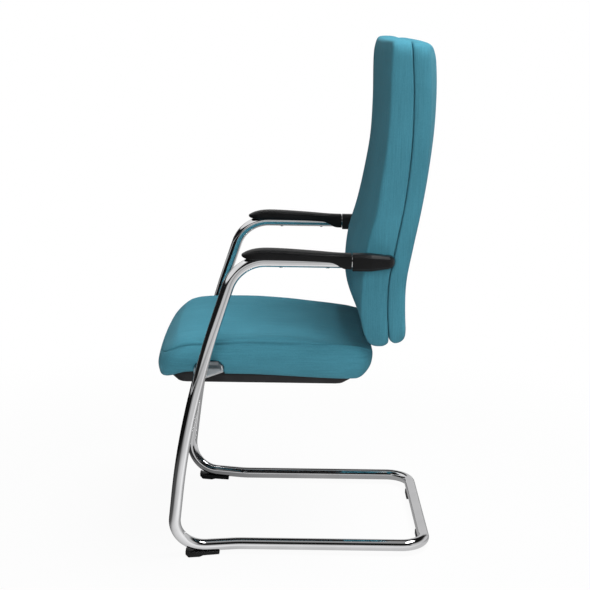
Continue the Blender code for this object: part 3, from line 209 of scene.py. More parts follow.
class Finish:
    """A Principled material and the nodes that vary it."""

    def __init__(self, name, **constants):
        self.material = bpy.data.materials.new(name)
        self.material.use_nodes = True
        self.tree = self.material.node_tree
        self.shader = self.tree.nodes["Principled BSDF"]
        for label, value in constants.items():
            self.shader.inputs[label.replace("_", " ")].default_value = value

    def node(self, kind, settings=None, **slots):
        node = self.tree.nodes.new(kind)
        for key, value in (settings or {}).items():
            setattr(node, key, value)
        for label, value in slots.items():
            plug(self.tree, node.inputs[label.replace("_", " ")], value)
        return node

    def value(self, kind, output=0, settings=None, **slots):
        return Value(self.tree, self.node(kind, settings, **slots).outputs[output])

    def stretched(self, vector, scale):
        return self.node("ShaderNodeMapping", Vector=vector, Scale=scale).outputs[0]

    def place(self, scale=(1, 1, 1)):
        """Coordinates of the piece, in metres, stretched by scale."""
        return self.stretched(self.node("ShaderNodeTexCoord").outputs["Object"], scale)

    def noise(self, vector, scale, detail=3.0, roughness=0.55):
        return self.value("ShaderNodeTexNoise", 0, Vector=vector, Scale=scale, Detail=detail,
                          Roughness=roughness)

    def mix(self, amount, first, second, kind="MIX"):
        node = self.tree.nodes.new("ShaderNodeMix")
        node.data_type = "RGBA"
        node.blend_type = kind
        plug(self.tree, node.inputs[0], amount)
        for slot, colour in zip((node.inputs[6], node.inputs[7]), (first, second)):
            if not isinstance(colour, (Value, bpy.types.NodeSocket)):
                colour = (*colour[:3], 1.0)
            plug(self.tree, slot, colour)
        return node.outputs[2]

    def bump(self, height, distance, strength=1.0):
        node = self.node("ShaderNodeBump", Height=height, Distance=distance, Strength=strength)
        plug(self.tree, self.shader.inputs["Normal"], node.outputs[0])

    def set(self, **slots):
        for label, value in slots.items():
            plug(self.tree, self.shader.inputs[label.replace("_", " ")], value)


FINISHES = {}


def shade(colour, factor):
    return tuple(min(1.0, c * factor) for c in colour[:3])


def make_cloth(name, colour, pitch):
    """Plain weave with flecked yarn. The piece's cloth map is in metres, grain along V."""
    cloth = Finish(name, Roughness=0.86, Specular_IOR_Level=0.22, Sheen_Weight=0.05,
                   Sheen_Roughness=0.45, Sheen_Tint=(0.62, 0.86, 0.92, 1.0))
    uv = cloth.node("ShaderNodeTexCoord").outputs["UV"]
    flat = cloth.node("ShaderNodeSeparateXYZ", Vector=uv)
    across, along = (Value(cloth.tree, socket) for socket in flat.outputs[:2])
    wobble = (cloth.noise(uv, 140.0, 2.0) - 0.5) * (pitch * 0.5)
    turns = 2.0 * math.pi / pitch
    warp = ((across + wobble) * turns).math("SINE") * 0.5 + 0.5
    weft = ((along + wobble) * turns).math("SINE") * 0.5 + 0.5
    over = ((across * (turns * 0.5)).math("SINE") * (along * (turns * 0.5)).math("SINE")
            ).between(-0.25, 0.25)
    weave = warp * over + weft * (1.0 - over)
    # changes per metre across and along the grain
    yarn = cloth.noise(cloth.stretched(uv, (1500.0, 60.0, 1.0)), 1.0, 3.0, 0.6)
    streak = cloth.noise(cloth.stretched(uv, (420.0, 11.0, 1.0)), 1.0, 3.0, 0.55)
    fleck = cloth.noise(cloth.stretched(uv, (620.0, 300.0, 1.0)), 1.0, 2.0, 0.6)
    cloudy = cloth.noise(cloth.place(), 9.0, 2.0, 0.5)
    tone = ((streak - 0.5) * 1.05 + (yarn - 0.5) * 0.9 + (weave - 0.5) * 0.22
            + (fleck - 0.5) * 0.9 + (cloudy - 0.5) * 0.6)
    base = cloth.mix((tone * 0.8 + 0.5).clamped(), shade(colour, 0.70), shade(colour, 1.26))
    cloth.set(Base_Color=base, Roughness=0.90 - weave * 0.08)
    cloth.bump(weave + yarn * 0.5 + streak * 0.35, 0.00035, 0.55)
    return cloth.material


def make_chrome(name, colour):
    chrome = Finish(name, Metallic=1.0, Roughness=0.05)
    grain = chrome.noise(chrome.place((900.0, 900.0, 900.0)), 1.0, 2.0)
    smear = chrome.noise(chrome.place(), 14.0, 3.0)
    chrome.set(Base_Color=chrome.mix(smear.between(0.35, 0.75), colour, shade(colour, 0.93)),
               Roughness=0.035 + smear * 0.035 + grain * 0.015)
    chrome.bump(smear, 0.0001, 0.05)
    return chrome.material


def make_plastic(name, colour, grain_size=0.0009, roughness=0.42, depth=0.00006):
    """Moulded plastic with a fine spark texture, a little polished by use."""
    plastic = Finish(name, Specular_IOR_Level=0.24)
    spot = plastic.place()
    spark = plastic.noise(spot, 1.0 / grain_size, 2.0, 0.6)
    rubbed = plastic.noise(spot, 22.0, 3.0)
    plastic.set(Base_Color=plastic.mix(rubbed.between(0.4, 0.8), colour, shade(colour, 1.5)),
                Roughness=roughness + (spark - 0.5) * 0.16 + (rubbed - 0.5) * 0.10)
    plastic.bump(spark, depth, 0.6)
    return plastic.material


def make_zinc(name):
    zinc = Finish(name, Metallic=1.0)
    spot = zinc.place()
    patch = zinc.noise(spot, 160.0, 3.0)
    zinc.set(Base_Color=zinc.mix(patch.clamped(), (0.40, 0.41, 0.43), (0.62, 0.63, 0.66)),
             Roughness=0.30 + patch * 0.22)
    zinc.bump(patch, 0.00008, 0.5)
    return zinc.material


def make_satin(name):
    """Pale satin plating, drawn along the plate."""
    satin = Finish(name, Metallic=0.6, Roughness=0.4)
    grain = satin.noise(satin.place((900.0, 60.0, 900.0)), 1.0, 3.0)
    cloudy = satin.noise(satin.place(), 60.0, 3.0)
    satin.set(Base_Color=satin.mix(cloudy.clamped(), (0.56, 0.56, 0.57), (0.70, 0.70, 0.71)),
              Roughness=0.34 + grain * 0.14)
    satin.bump(grain, 0.00004, 0.4)
    return satin.material


def make_plywood(name, ply_axis, ply=0.0028):
    """Veneer layers show along ply_axis, and the face grain runs along X."""
    wood = Finish(name, Roughness=0.62)
    spot = wood.node("ShaderNodeSeparateXYZ", Vector=wood.place())
    layer = (Value(wood.tree, spot.outputs[ply_axis]) * (2.0 * math.pi / ply)).math("SINE")
    grain = wood.noise(wood.place((2.2, 16.0, 16.0)), 9.0, 5.0, 0.65)
    fibre = wood.noise(wood.place((60.0, 700.0, 700.0)), 1.0, 3.0)
    tone = (grain * 0.75 + fibre * 0.25).between(0.3, 0.72)
    face = wood.mix(tone, (0.36, 0.22, 0.11), (0.62, 0.43, 0.25))
    wood.set(Base_Color=wood.mix((layer * 0.5 + 0.5) * 0.35, face, (0.26, 0.15, 0.075)),
             Roughness=0.55 + fibre * 0.2)
    wood.bump(grain * 0.6 + fibre * 0.4, 0.00012, 0.6)
    return wood.material


def make_finishes():
    colours = bpy.context.scene.armchair_colours
    covers = bpy.context.scene.armchair_covers
    FINISHES["cloth"] = make_cloth("teal_cloth", tuple(colours.cloth), covers.thread)
    FINISHES["chrome"] = make_chrome("chrome_plate", tuple(colours.chrome))
    FINISHES["plastic"] = make_plastic("black_plastic", tuple(colours.plastic))
    FINISHES["pan"] = make_plastic("pan_plastic", shade(colours.plastic, 4.0), 0.0014, 0.55,
                                   0.0001)
    FINISHES["zinc"] = make_zinc("zinc_steel")
    FINISHES["satin"] = make_satin("satin_plate")
    FINISHES["black_steel"] = make_plastic("painted_steel", shade(colours.plastic, 0.9), 0.0006,
                                           0.5, 0.00004)
    FINISHES["seat_board"] = make_plywood("seat_plywood", 2)
    FINISHES["back_board"] = make_plywood("back_plywood", 1)


# Shape helpers

def line_at(line, at):
    """Smooth value of a line of (position, value) points."""
    if at <= line[0][0]:
        return line[0][1]
    if at >= line[-1][0]:
        return line[-1][1]
    i = max(k for k in range(len(line) - 1) if line[k][0] <= at)
    (a, va), (b, vb) = line[i], line[i + 1]

    def slope(k):
        low, high = max(k - 1, 0), min(k + 1, len(line) - 1)
        return (line[high][1] - line[low][1]) / (line[high][0] - line[low][0])

    t, span = (at - a) / (b - a), b - a
    return ((2 * t ** 3 - 3 * t ** 2 + 1) * va + (t ** 3 - 2 * t ** 2 + t) * span * slope(i)
            + (3 * t ** 2 - 2 * t ** 3) * vb + (t ** 3 - t ** 2) * span * slope(i + 1))


def ease(low, high, value):
    t = max(0.0, min(1.0, (value - low) / (high - low)))
    return t * t * (3 - 2 * t)


def spread(low, high, steps):
    return [low + (high - low) * k / steps for k in range(steps + 1)]


def stations(half, radius, middle, corner):
    """Stations across a width, closer in its round corners."""
    inner = half - radius
    edge = [inner + radius * math.sin(math.pi / 2 * k / corner) for k in range(1, corner + 1)]
    return [-e for e in reversed(edge)] + spread(-inner, inner, middle) + edge


def clamp(value, limit):
    return max(-limit, min(limit, value))


def rounded(x, y, half_x, half_y, radius):
    """Moves a point of a rectangle's grid so that the rectangle's corners are round."""
    inner_x, inner_y = clamp(x, half_x - radius), clamp(y, half_y - radius)
    dx, dy = x - inner_x, y - inner_y
    reach = math.hypot(dx, dy)
    if reach < 1e-9:
        return x, y
    scale = max(abs(dx), abs(dy)) / reach
    return inner_x + dx * scale, inner_y + dy * scale


def grid_block(counts):
    """A closed cube cut into a grid. Its vertices hold their whole station numbers."""
    bm = bmesh.new()
    bmesh.ops.create_cube(bm, size=2.0)
    for axis, count in enumerate(counts):
        along = [e for e in bm.edges if abs(e.verts[0].co[axis] - e.verts[1].co[axis]) > 1.0]
        if count > 2:
            bmesh.ops.subdivide_edges(bm, edges=along, cuts=count - 2, use_grid_fill=True)
    for vert in bm.verts:
        for axis, count in enumerate(counts):
            vert.co[axis] = round((vert.co[axis] + 1.0) / 2.0 * (count - 1))
    return bm


def box_map(bm, level, name="cloth"):
    """A cloth map in metres, laid on from the side that each face looks to. On a level piece
    the grain runs from front to rear, otherwise up."""
    layer = bm.loops.layers.uv.new(name)
    for face in bm.faces:
        normal = face.normal
        size = [abs(c) for c in normal]
        if size[2] > max(size[0], size[1]) * 1.1:
            axes = (0, 1)
        elif size[0] > size[1]:
            axes = (2, 1) if level else (1, 2)
        else:
            axes = (0, 2)
        for loop in face.loops:
            loop[layer].uv = (loop.vert.co[axes[0]], loop.vert.co[axes[1]])


def add_piece(bm, name, finish, nodes, smooth=None, mapped=None):
    """Makes the mesh an object that rides on the frame and stands for the nodes given. A cloth
    piece is mapped level or upright."""
    bmesh.ops.remove_doubles(bm, verts=bm.verts, dist=1e-6)
    bmesh.ops.recalc_face_normals(bm, faces=bm.faces)
    if bm.calc_volume(signed=True) < 0:
        bmesh.ops.reverse_faces(bm, faces=bm.faces)
    if mapped:
        bm.normal_update()
        box_map(bm, mapped == "level")
    mesh = bpy.data.meshes.new(name)
    bm.to_mesh(mesh)
    bm.free()
    mesh.shade_smooth()
    if smooth is not None:
        mesh.set_sharp_from_angle(angle=math.radians(smooth))
    piece = bpy.data.objects.new(name, mesh)
    bpy.context.scene.collection.objects.link(piece)
    mesh.materials.append(FINISHES[finish])
    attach(piece, BODY)
    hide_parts(*nodes)
    return piece


def subdivide(piece, levels=1):
    modifier = piece.modifiers.new("subdivision", "SUBSURF")
    modifier.levels = modifier.render_levels = levels


def bevel(piece, width, segments, degrees):
    modifier = piece.modifiers.new("bevel", "BEVEL")
    modifier.width = width
    modifier.segments = segments
    modifier.limit_method = "ANGLE"
    modifier.angle_limit = math.radians(degrees)


def settle(piece, smooth=None):
    """Applies the piece's modifiers, so that its own mesh is final."""
    bpy.context.view_layer.update()
    graph = bpy.context.evaluated_depsgraph_get()
    mesh = bpy.data.meshes.new_from_object(piece.evaluated_get(graph))
    piece.modifiers.clear()
    piece.data = mesh
    mesh.shade_smooth()
    if smooth is not None:
        mesh.set_sharp_from_angle(angle=math.radians(smooth))


def cut(piece, bm):
    """Cuts the shape out of the piece."""
    bmesh.ops.recalc_face_normals(bm, faces=bm.faces)
    mesh = bpy.data.meshes.new("cutter")
    bm.to_mesh(mesh)
    bm.free()
    cutter = bpy.data.objects.new("cutter", mesh)
    bpy.context.scene.collection.objects.link(cutter)
    modifier = piece.modifiers.new("cut", "BOOLEAN")
    modifier.solver = "EXACT"
    modifier.object = cutter
    settle(piece)
    bpy.data.objects.remove(cutter, do_unlink=True)


# Frame tube

GENTLE_BEND = 0.5  # a bend of a larger radius than this gets finer steps


def tube_corners(sizes):
    """Corners of the tube's axis on the +X side, from the middle of the rear bar."""
    height = sizes.lift + sizes.radius
    return [Vector(p) for p in (
        (0.0, sizes.rear_y, height),
        (sizes.rail_half, sizes.rear_y, height),
        (sizes.rail_half, sizes.flare_y, height),
        (sizes.foot_half, sizes.foot_y, height + sizes.foot_rise),
        (sizes.bow_half, sizes.bow_y, sizes.bow_z),
        (sizes.arm_half, sizes.arm_front, sizes.arm_z),
        (sizes.arm_half, sizes.arm_end, sizes.arm_z),
    )]


def tube_bend_radii(sizes):
    return [sizes.corner_bend, sizes.flare_bend, sizes.foot_bend, sizes.bow_bend, sizes.arm_bend]


def sweep_tube(corners, radii, radius, sides, step=math.radians(4.0)):
    """Extrudes a ring along the straight runs and spins it round each bend."""
    bm = bmesh.new()
    start, heading = corners[0], (corners[1] - corners[0]).normalized()
    turn = Vector((0, 0, 1)).rotation_difference(heading).to_matrix().to_4x4()
    bmesh.ops.create_circle(bm, cap_ends=False, segments=sides, radius=radius,
                            matrix=Matrix.Translation(start) @ turn)
    first_ring = bm.edges[:]
    ring, here = first_ring, start

    def run_to(ring, here, there):
        made = bmesh.ops.extrude_edge_only(bm, edges=ring)["geom"]
        verts = [g for g in made if isinstance(g, bmesh.types.BMVert)]
        fresh = set(verts)
        bmesh.ops.translate(bm, verts=verts, vec=there - here)
        return [e for e in made if isinstance(e, bmesh.types.BMEdge)
                and e.verts[0] in fresh and e.verts[1] in fresh]

    for i, bend in enumerate(radii, start=1):
        corner = corners[i]
        back, ahead = (corners[i - 1] - corner).normalized(), (corners[i + 1] - corner).normalized()
        inside = back.angle(ahead)
        reach = bend / math.tan(inside / 2)
        centre = corner + (back + ahead).normalized() * math.hypot(bend, reach)
        entry, leave = corner + back * reach, corner + ahead * reach
        ring = run_to(ring, here, entry)
        axis = (entry - centre).cross(leave - centre).normalized()
        sweep = math.pi - inside
        steps = max(4, math.ceil(sweep / (step if bend < GENTLE_BEND else step / 3)))
        verts = list({v for e in ring for v in e.verts})
        made = bmesh.ops.spin(bm, geom=ring + verts, cent=centre, axis=axis, angle=sweep,
                              steps=steps, use_merge=False)["geom_last"]
        ring = [g for g in made if isinstance(g, bmesh.types.BMEdge)]
        here = leave
    ring = run_to(ring, here, corners[-1])
    return bm, first_ring, ring


def build_tube():
    sizes = bpy.context.scene.armchair_tube
    corners, radii = tube_corners(sizes), tube_bend_radii(sizes)
    mirrored = [Vector((-c.x, c.y, c.z)) for c in reversed(corners[1:])]
    bm, first, last = sweep_tube(mirrored + corners[1:], radii[::-1] + radii, sizes.radius,
                                 sizes.sides)
    for ring in (first, last):
        bmesh.ops.contextual_create(bm, geom=ring)
    add_piece(bm, "chromed_tube", "chrome", ["frame_tube"], smooth=50)


# Upholstery

# depths of the backrest at each height: the seam, the middle and the border of the front face,
# and the middle of the rear face
SEAM_LINE = ((0.470, 0.1925), (0.535, 0.1875), (0.600, 0.1880), (0.670, 0.1995),
             (0.765, 0.2160), (0.875, 0.2260), (0.980, 0.2265), (1.090, 0.2190))
FRONT_LINE = ((0.461, 0.1590), (0.476, 0.1510), (0.490, 0.1445), (0.510, 0.1345),
              (0.530, 0.1220), (0.560, 0.1112), (0.595, 0.1075), (0.660, 0.1130),
              (0.725, 0.1310), (0.855, 0.1565), (0.950, 0.1615), (1.060, 0.1610),
              (1.090, 0.1690))
BORDER_LINE = ((0.461, 0.1545), (0.478, 0.1442), (0.499, 0.1365), (0.520, 0.1320),
               (0.540, 0.1302), (0.563, 0.1300), (0.598, 0.1320), (0.621, 0.1340),
               (0.640, 0.1360), (0.668, 0.1385), (0.695, 0.1445), (0.747, 0.1580),
               (0.800, 0.1640), (0.873, 0.1735), (0.950, 0.1775), (1.022, 0.1780),
               (1.060, 0.1790), (1.090, 0.1830))
REAR_LINE = ((0.470, 0.2285), (0.500, 0.2325), (0.530, 0.2318), (0.560, 0.2315),
             (0.600, 0.2335), (0.670, 0.2440), (0.735, 0.2610), (0.800, 0.2745),
             (0.925, 0.2885), (1.050, 0.2860), (1.090, 0.2700))

# Seat side from hem to seam, then from seam to the edge of the top: the share of the height
# and the inset, along the sides, the front and the rear
SEAT_BORDER = (((0.0, 0.030), (0.0, 0.024), (0.0, 0.042)),
               ((0.0, 0.018), (0.0, 0.0100), (0.0, 0.030)),
               ((0.06, 0.0090), (0.08, 0.0045), (0.07, 0.0200)),
               ((0.18, 0.0030), (0.24, 0.0025), (0.20, 0.0125)),
               ((0.35, 0.0000), (0.46, 0.0000), (0.39, 0.0045)),
               ((0.56, 0.0010), (0.66, 0.0010), (0.62, 0.0010)),
               ((0.75, 0.0055), (0.82, 0.0035), (0.80, 0.0000)),
               ((0.89, 0.0110), (0.91, 0.0058), (0.90, 0.0003)),
               ((0.965, 0.0150), (0.970, 0.0075), (0.965, 0.0012)),
               ((1.0, 0.0182), (1.0, 0.0105), (1.0, 0.0030)))
SEAT_ROLL = (((0.14, 0.0162), (0.055, 0.0088), (0.20, 0.0030)),
             ((0.45, 0.0164), (0.28, 0.0122), (0.50, 0.0055)),
             ((0.78, 0.0200), (0.69, 0.0212), (0.80, 0.0115)),
             ((1.0, 0.0290), (1.0, 0.0380), (1.0, 0.0215)))
# heights along the chair: hem, seam and edge of the top at the sides, and top at the middle
HEM_HEIGHTS = ((-0.300, 0.3980), (-0.240, 0.4025), (-0.215, 0.4030), (-0.152, 0.3990),
               (-0.096, 0.3985), (-0.034, 0.3960), (0.029, 0.3925), (0.071, 0.3905),
               (0.102, 0.3895), (0.135, 0.3900), (0.165, 0.3950))
SEAM_HEIGHTS = ((-0.300, 0.4590), (-0.245, 0.4600), (-0.200, 0.4608), (-0.160, 0.4620),
                (-0.110, 0.4655), (-0.075, 0.4640), (-0.040, 0.4620), (0.037, 0.4605),
                (0.100, 0.4600), (0.130, 0.4570), (0.165, 0.4480))
EDGE_HEIGHTS = ((-0.275, 0.4545), (-0.262, 0.4605), (-0.250, 0.4648), (-0.235, 0.4682),
                (-0.215, 0.4706), (-0.180, 0.4730), (-0.113, 0.4748), (-0.085, 0.4752),
                (-0.013, 0.4725), (0.020, 0.4690), (0.059, 0.4650), (0.095, 0.4605),
                (0.116, 0.4575), (0.136, 0.4550), (0.150, 0.4530), (0.162, 0.4480))
MIDDLE_HEIGHTS = ((-0.285, 0.4520), (-0.262, 0.4650), (-0.250, 0.4700), (-0.235, 0.4744),
                  (-0.215, 0.4782), (-0.180, 0.4818), (-0.130, 0.4838), (-0.050, 0.4822),
                  (0.020, 0.4790), (0.080, 0.4712), (0.120, 0.4635), (0.140, 0.4590),
                  (0.150, 0.4560), (0.162, 0.4480))
# at the front and at the rear: corner radius in plan, height of the hem and of the seam
SEAT_CORNERS = (0.072, 0.044)
HEM_ENDS = (0.3808, 0.3920)
SEAM_ENDS = (0.4330, 0.4480)
CROWN_INSET = 0.029  # from the seat's side to the edge of its top


def seat_span(sizes):
    """Middle of the seat along the chair, and half its depth."""
    middle_y = (sizes.seat_front + sizes.seat_rear) / 2
    return middle_y, sizes.seat_rear - middle_y


def seat_top(sizes, x, y):
    """Height of the settled top panel."""
    edge, middle = line_at(EDGE_HEIGHTS, y), line_at(MIDDLE_HEIGHTS, y)
    outward = min(1.0, abs(x) / (sizes.seat_half - CROWN_INSET))
    return edge + (middle - edge) * (1.0 - outward ** 2.4) + seat_tilt(sizes, x, y)


def seat_tilt(sizes, x, y):
    """How far the settled cushion stands over its even height."""
    settled = ease(-0.20, 0.02, y) + 0.6 * ease(0.07, 0.14, y)
    return sizes.seat_settle * 0.5 * x / sizes.seat_half * settled


def seat_point(x, y, k, rim, sizes):
    """Moves the grid's point (x, y) of row k to its place on the seat's side, or inside the
    seat if it isn't on the grid's rim."""
    middle_y, half_y = seat_span(sizes)
    half_x, end = sizes.seat_half, 0 if y < 0 else 1
    radius = SEAT_CORNERS[end]
    x, y = rounded(x, y, half_x, half_y, radius)
    lean = Vector((x - clamp(x, half_x - radius), y - clamp(y, half_y - radius)))
    lean = lean.normalized() if lean.length > 1e-7 else Vector((0.0, 0.0))
    turned = lean.y ** 2
    u, v = x / half_x, y / half_y
    if end == 0:
        y -= sizes.seat_bow * (1.0 - u * u) * min(1.0, -v * 1.5)
    x -= math.copysign(sizes.seat_taper * ease(-0.16, 0.15, middle_y + y) * abs(u), x)
    side, *endings = (SEAT_BORDER + SEAT_ROLL)[k]
    ending = endings[end]
    share = side[0] + (ending[0] - side[0]) * turned
    inset = side[1] + (ending[1] - side[1]) * turned
    if rim:
        x, y = x - lean.x * inset, y - lean.y * inset
    else:
        x *= 1.0 - side[1] / half_x
        y *= 1.0 - ending[1] / half_y
    y += middle_y
    seam = line_at(SEAM_HEIGHTS, y) + seat_tilt(sizes, x, y)
    seam += (SEAM_ENDS[end] - seam) * turned
    if k < len(SEAT_BORDER):
        hem = line_at(HEM_HEIGHTS, y)
        hem += (HEM_ENDS[end] - hem) * turned
        return Vector((x, y, hem + (seam - hem) * share))
    return Vector((x, y, seam + (seat_top(sizes, x, y) - seam) * share))


def build_seat():
    sizes = bpy.context.scene.armchair_covers
    half_x, half_y = sizes.seat_half, seat_span(sizes)[1]
    wide, tight = SEAT_CORNERS
    xs = stations(half_x, wide, 12, 6)
    ys = [y if y <= half_y - wide else half_y - (half_y - y) * tight / wide
          for y in stations(half_y, wide, 14, 6)]
    rows = len(SEAT_BORDER) + len(SEAT_ROLL)
    bm, panel = grid_block((len(xs), len(ys), rows)), []
    for vert in bm.verts:
        i, j, k = (round(c) for c in vert.co)
        rim = i in (0, len(xs) - 1) or j in (0, len(ys) - 1)
        vert.co = seat_point(xs[i], ys[j], k, rim, sizes)
        if k == rows - 1 and not rim:
            panel.append(vert)
    for _ in range(8):
        bmesh.ops.smooth_vert(bm, verts=panel, factor=0.5, use_axis_x=True, use_axis_y=True)
    for vert in panel:
        vert.co.z = seat_top(sizes, vert.co.x, vert.co.y)
    seat = add_piece(bm, "seat_upholstery", "cloth", ["seat_cushion"], mapped="level")
    subdivide(seat, 2)
    settle(seat)
    cut_bracket_notches(seat)


NOTCH_ROOM = (0.0015, 0.0025, 0.011)  # in front of, behind and over the bracket
NOTCH_FOOT, NOTCH_WAIST = 0.380, 0.406
NOTCH_START, NOTCH_REACH = 0.2035, 0.06
NOTCH_ARCH = 0.72  # below 1 the arch is squarer than a half circle


def cut_bracket_notches(seat):
    """The arched cut-outs in the border that the seat brackets pass through."""
    low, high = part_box("seat_bracket_left")
    front, rear, top = low.y - NOTCH_ROOM[0], high.y + NOTCH_ROOM[1], high.z + NOTCH_ROOM[2]
    for side, _ in SIDES:
        bm = bmesh.new()
        bmesh.ops.create_circle(bm, cap_ends=True, segments=32, radius=1.0)
        for vert in bm.verts:
            across, up = vert.co.x, vert.co.y
            arch = math.copysign(abs(across) ** NOTCH_ARCH, across)
            y = (front + rear) / 2 + arch * (rear - front) / 2
            z = NOTCH_WAIST + up ** NOTCH_ARCH * (top - NOTCH_WAIST) if up > 0 else NOTCH_FOOT
            vert.co = (side * NOTCH_START, y, z)
        made = bmesh.ops.extrude_face_region(bm, geom=bm.faces[:])["geom"]
        verts = [g for g in made if isinstance(g, bmesh.types.BMVert)]
        bmesh.ops.translate(bm, verts=verts, vec=(side * NOTCH_REACH, 0, 0))
        cut(seat, bm)


# rows from the seam to the face of each half of the backrest: share of the depth, and inset
FRONT_SIDE = ((0.000, 0.0062), (0.012, 0.0024), (0.050, 0.0004), (0.250, -0.0010),
              (0.500, -0.0015), (0.760, -0.0010), (0.910, 0.0008), (0.975, 0.0036),
              (1.000, 0.0085))
REAR_SIDE = ((0.000, 0.0060), (0.020, 0.0022), (0.080, 0.0002), (0.300, -0.0006),
             (0.520, 0.0000), (0.720, 0.0016), (0.880, 0.0045), (0.970, 0.0090),
             (1.000, 0.0150))
BACK_LOW, BACK_HIGH = 0.461, 1.090
BACK_CORNER = 0.032
BACK_GAP = 0.0004  # from the seam to each half


def back_half_width(z, sizes):
    t = (z - BACK_LOW) / (BACK_HIGH - BACK_LOW)
    return sizes.back_half - sizes.back_waist * 4.0 * t * (1.0 - t)


def back_block(bottom, top, levels, surface, sizes, forward):
    """One half of the backrest, from the seam to the surface given."""
    half_z, middle = (top - bottom) / 2, (top + bottom) / 2
    xs = stations(sizes.back_half, BACK_CORNER, 14, 4)
    zs = stations(half_z, BACK_CORNER, 36, 4)
    upper, lower = (0.8, 0.7) if forward else (1.0, 1.7)
    bm = grid_block((len(xs), len(levels), len(zs)))
    for vert in bm.verts:
        i, k, j = (round(c) for c in vert.co)
        depth, inset = levels[k]
        x, z = rounded(xs[i], zs[j], sizes.back_half, half_z, BACK_CORNER)
        u = x / sizes.back_half
        if z > 0:
            inset_z = inset * upper
        else:
            inset_z = inset * lower + 0.005 * ease(0.30, 0.0, depth)
        z = middle + z * (1.0 - inset_z / half_z)
        start = line_at(SEAM_LINE, z) + (-BACK_GAP if forward else BACK_GAP)
        y = start + (surface(u, z) - start) * depth
        vert.co = (u * (back_half_width(z, sizes) - inset), y, z)
    return bm


def front_surface(u, z):
    """Depth of the front face. Its swelling is narrower near the seat."""
    side, centre = line_at(BORDER_LINE, z), line_at(FRONT_LINE, z)
    return side + (centre - side) * (1.0 - abs(u) ** (2.3 - 0.8 * ease(0.60, 0.50, z)))


def rear_surface(u, z):
    side, centre = line_at(SEAM_LINE, z) + 0.037, line_at(REAR_LINE, z)
    edge = min(side, centre)
    return edge + (centre - edge) * (1.0 - abs(u) ** 2.2)


def build_back():
    sizes = bpy.context.scene.armchair_covers
    front = back_block(0.4592, 1.0895, FRONT_SIDE, front_surface, sizes, True)
    rear = back_block(0.4655, 1.0865, REAR_SIDE, rear_surface, sizes, False)
    for bm, name, node in ((front, "back_front_upholstery", "back_front_cushion"),
                           (rear, "back_rear_upholstery", "back_rear_cushion")):
        piece = add_piece(bm, name, "cloth", [node], mapped="upright")
        subdivide(piece, 2)
        settle(piece)


# Mouldings

# heights of the pad's top and hem along the chair
PAD_TOP = ((-0.115, 0.6610), (-0.110, 0.6640), (-0.100, 0.6682), (-0.085, 0.6716),
           (-0.068, 0.6730), (-0.030, 0.6722), (0.030, 0.6688), (0.075, 0.6660), (0.1075, 0.6652))
PAD_HEM = ((-0.115, 0.6585), (-0.110, 0.6555), (-0.100, 0.6535), (-0.085, 0.6530),
           (-0.068, 0.6535), (-0.030, 0.6530), (0.030, 0.6515), (0.070, 0.6490), (0.080, 0.6430),
           (0.090, 0.6365), (0.1075, 0.6355))
PAD_STATIONS = (0.0, 0.008, 0.024, 0.05, 0.085, 0.13, 0.19, 0.27, 0.38, 0.50, 0.62, 0.72, 0.80,
                0.85, 0.89, 0.93, 0.965, 0.99, 1.0)
# share of the height, and share of the half width that is drawn in there
PAD_LEVELS = ((0.0, 0.30), (0.0, 0.10), (0.12, 0.02), (0.40, 0.0), (0.68, 0.02), (0.84, 0.07),
              (0.95, 0.17), (1.0, 0.32))
PAD_NOSE = 0.045  # length of the rounded tip
PAD_CROWN = 0.0012


def build_pads():
    sizes = bpy.context.scene.armchair_tube
    tip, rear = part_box("arm_pad_left")[0].y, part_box("arm_pad_left")[1].y + 0.0006
    half_width = node_size("arm_pad_left").x / 2
    ys = [tip + (rear - tip) * share for share in PAD_STATIONS]
    across = (-1.0, -0.6, 0.0, 0.6, 1.0)
    for side, label in SIDES:
        bm = grid_block((len(across), len(ys), len(PAD_LEVELS)))
        for vert in bm.verts:
            i, j, k = (round(c) for c in vert.co)
            y = ys[j]
            share, tuck = PAD_LEVELS[k]
            nose = (1.0 - (1.0 - min(1.0, (y - tip) / PAD_NOSE)) ** 2.2) ** 0.55
            narrow = 1.0 - 0.26 * ease(0.030, 0.100, y)
            half = half_width * (0.22 + 0.78 * nose) * narrow * (1.0 - tuck)
            top, hem = line_at(PAD_TOP, y), line_at(PAD_HEM, y)
            z = hem + (top - hem) * share
            if k == len(PAD_LEVELS) - 1:
                z += PAD_CROWN * (1.0 - across[i] ** 2)
            vert.co = (side * (sizes.arm_half + across[i] * half), y, z)
        pad = add_piece(bm, f"arm_pad_moulding_{label}", "plastic",
                        [f"arm_pad_{label}"])
        subdivide(pad, 2)
        settle(pad)
        cut_tube_channel(pad, side)


def cut_tube_channel(piece, side):
    """Clears the arm tube out of a moulding, with a little room round it and past its end."""
    sizes = bpy.context.scene.armchair_tube
    room = [Vector((side * c.x, c.y, c.z)) for c in tube_corners(sizes)[4:]]
    room[-1].y += 0.001
    bm, first, last = sweep_tube(room, [sizes.arm_bend], sizes.radius + 0.0003, 40)
    for ring in (first, last):
        bmesh.ops.contextual_create(bm, geom=ring)
    cut(piece, bm)


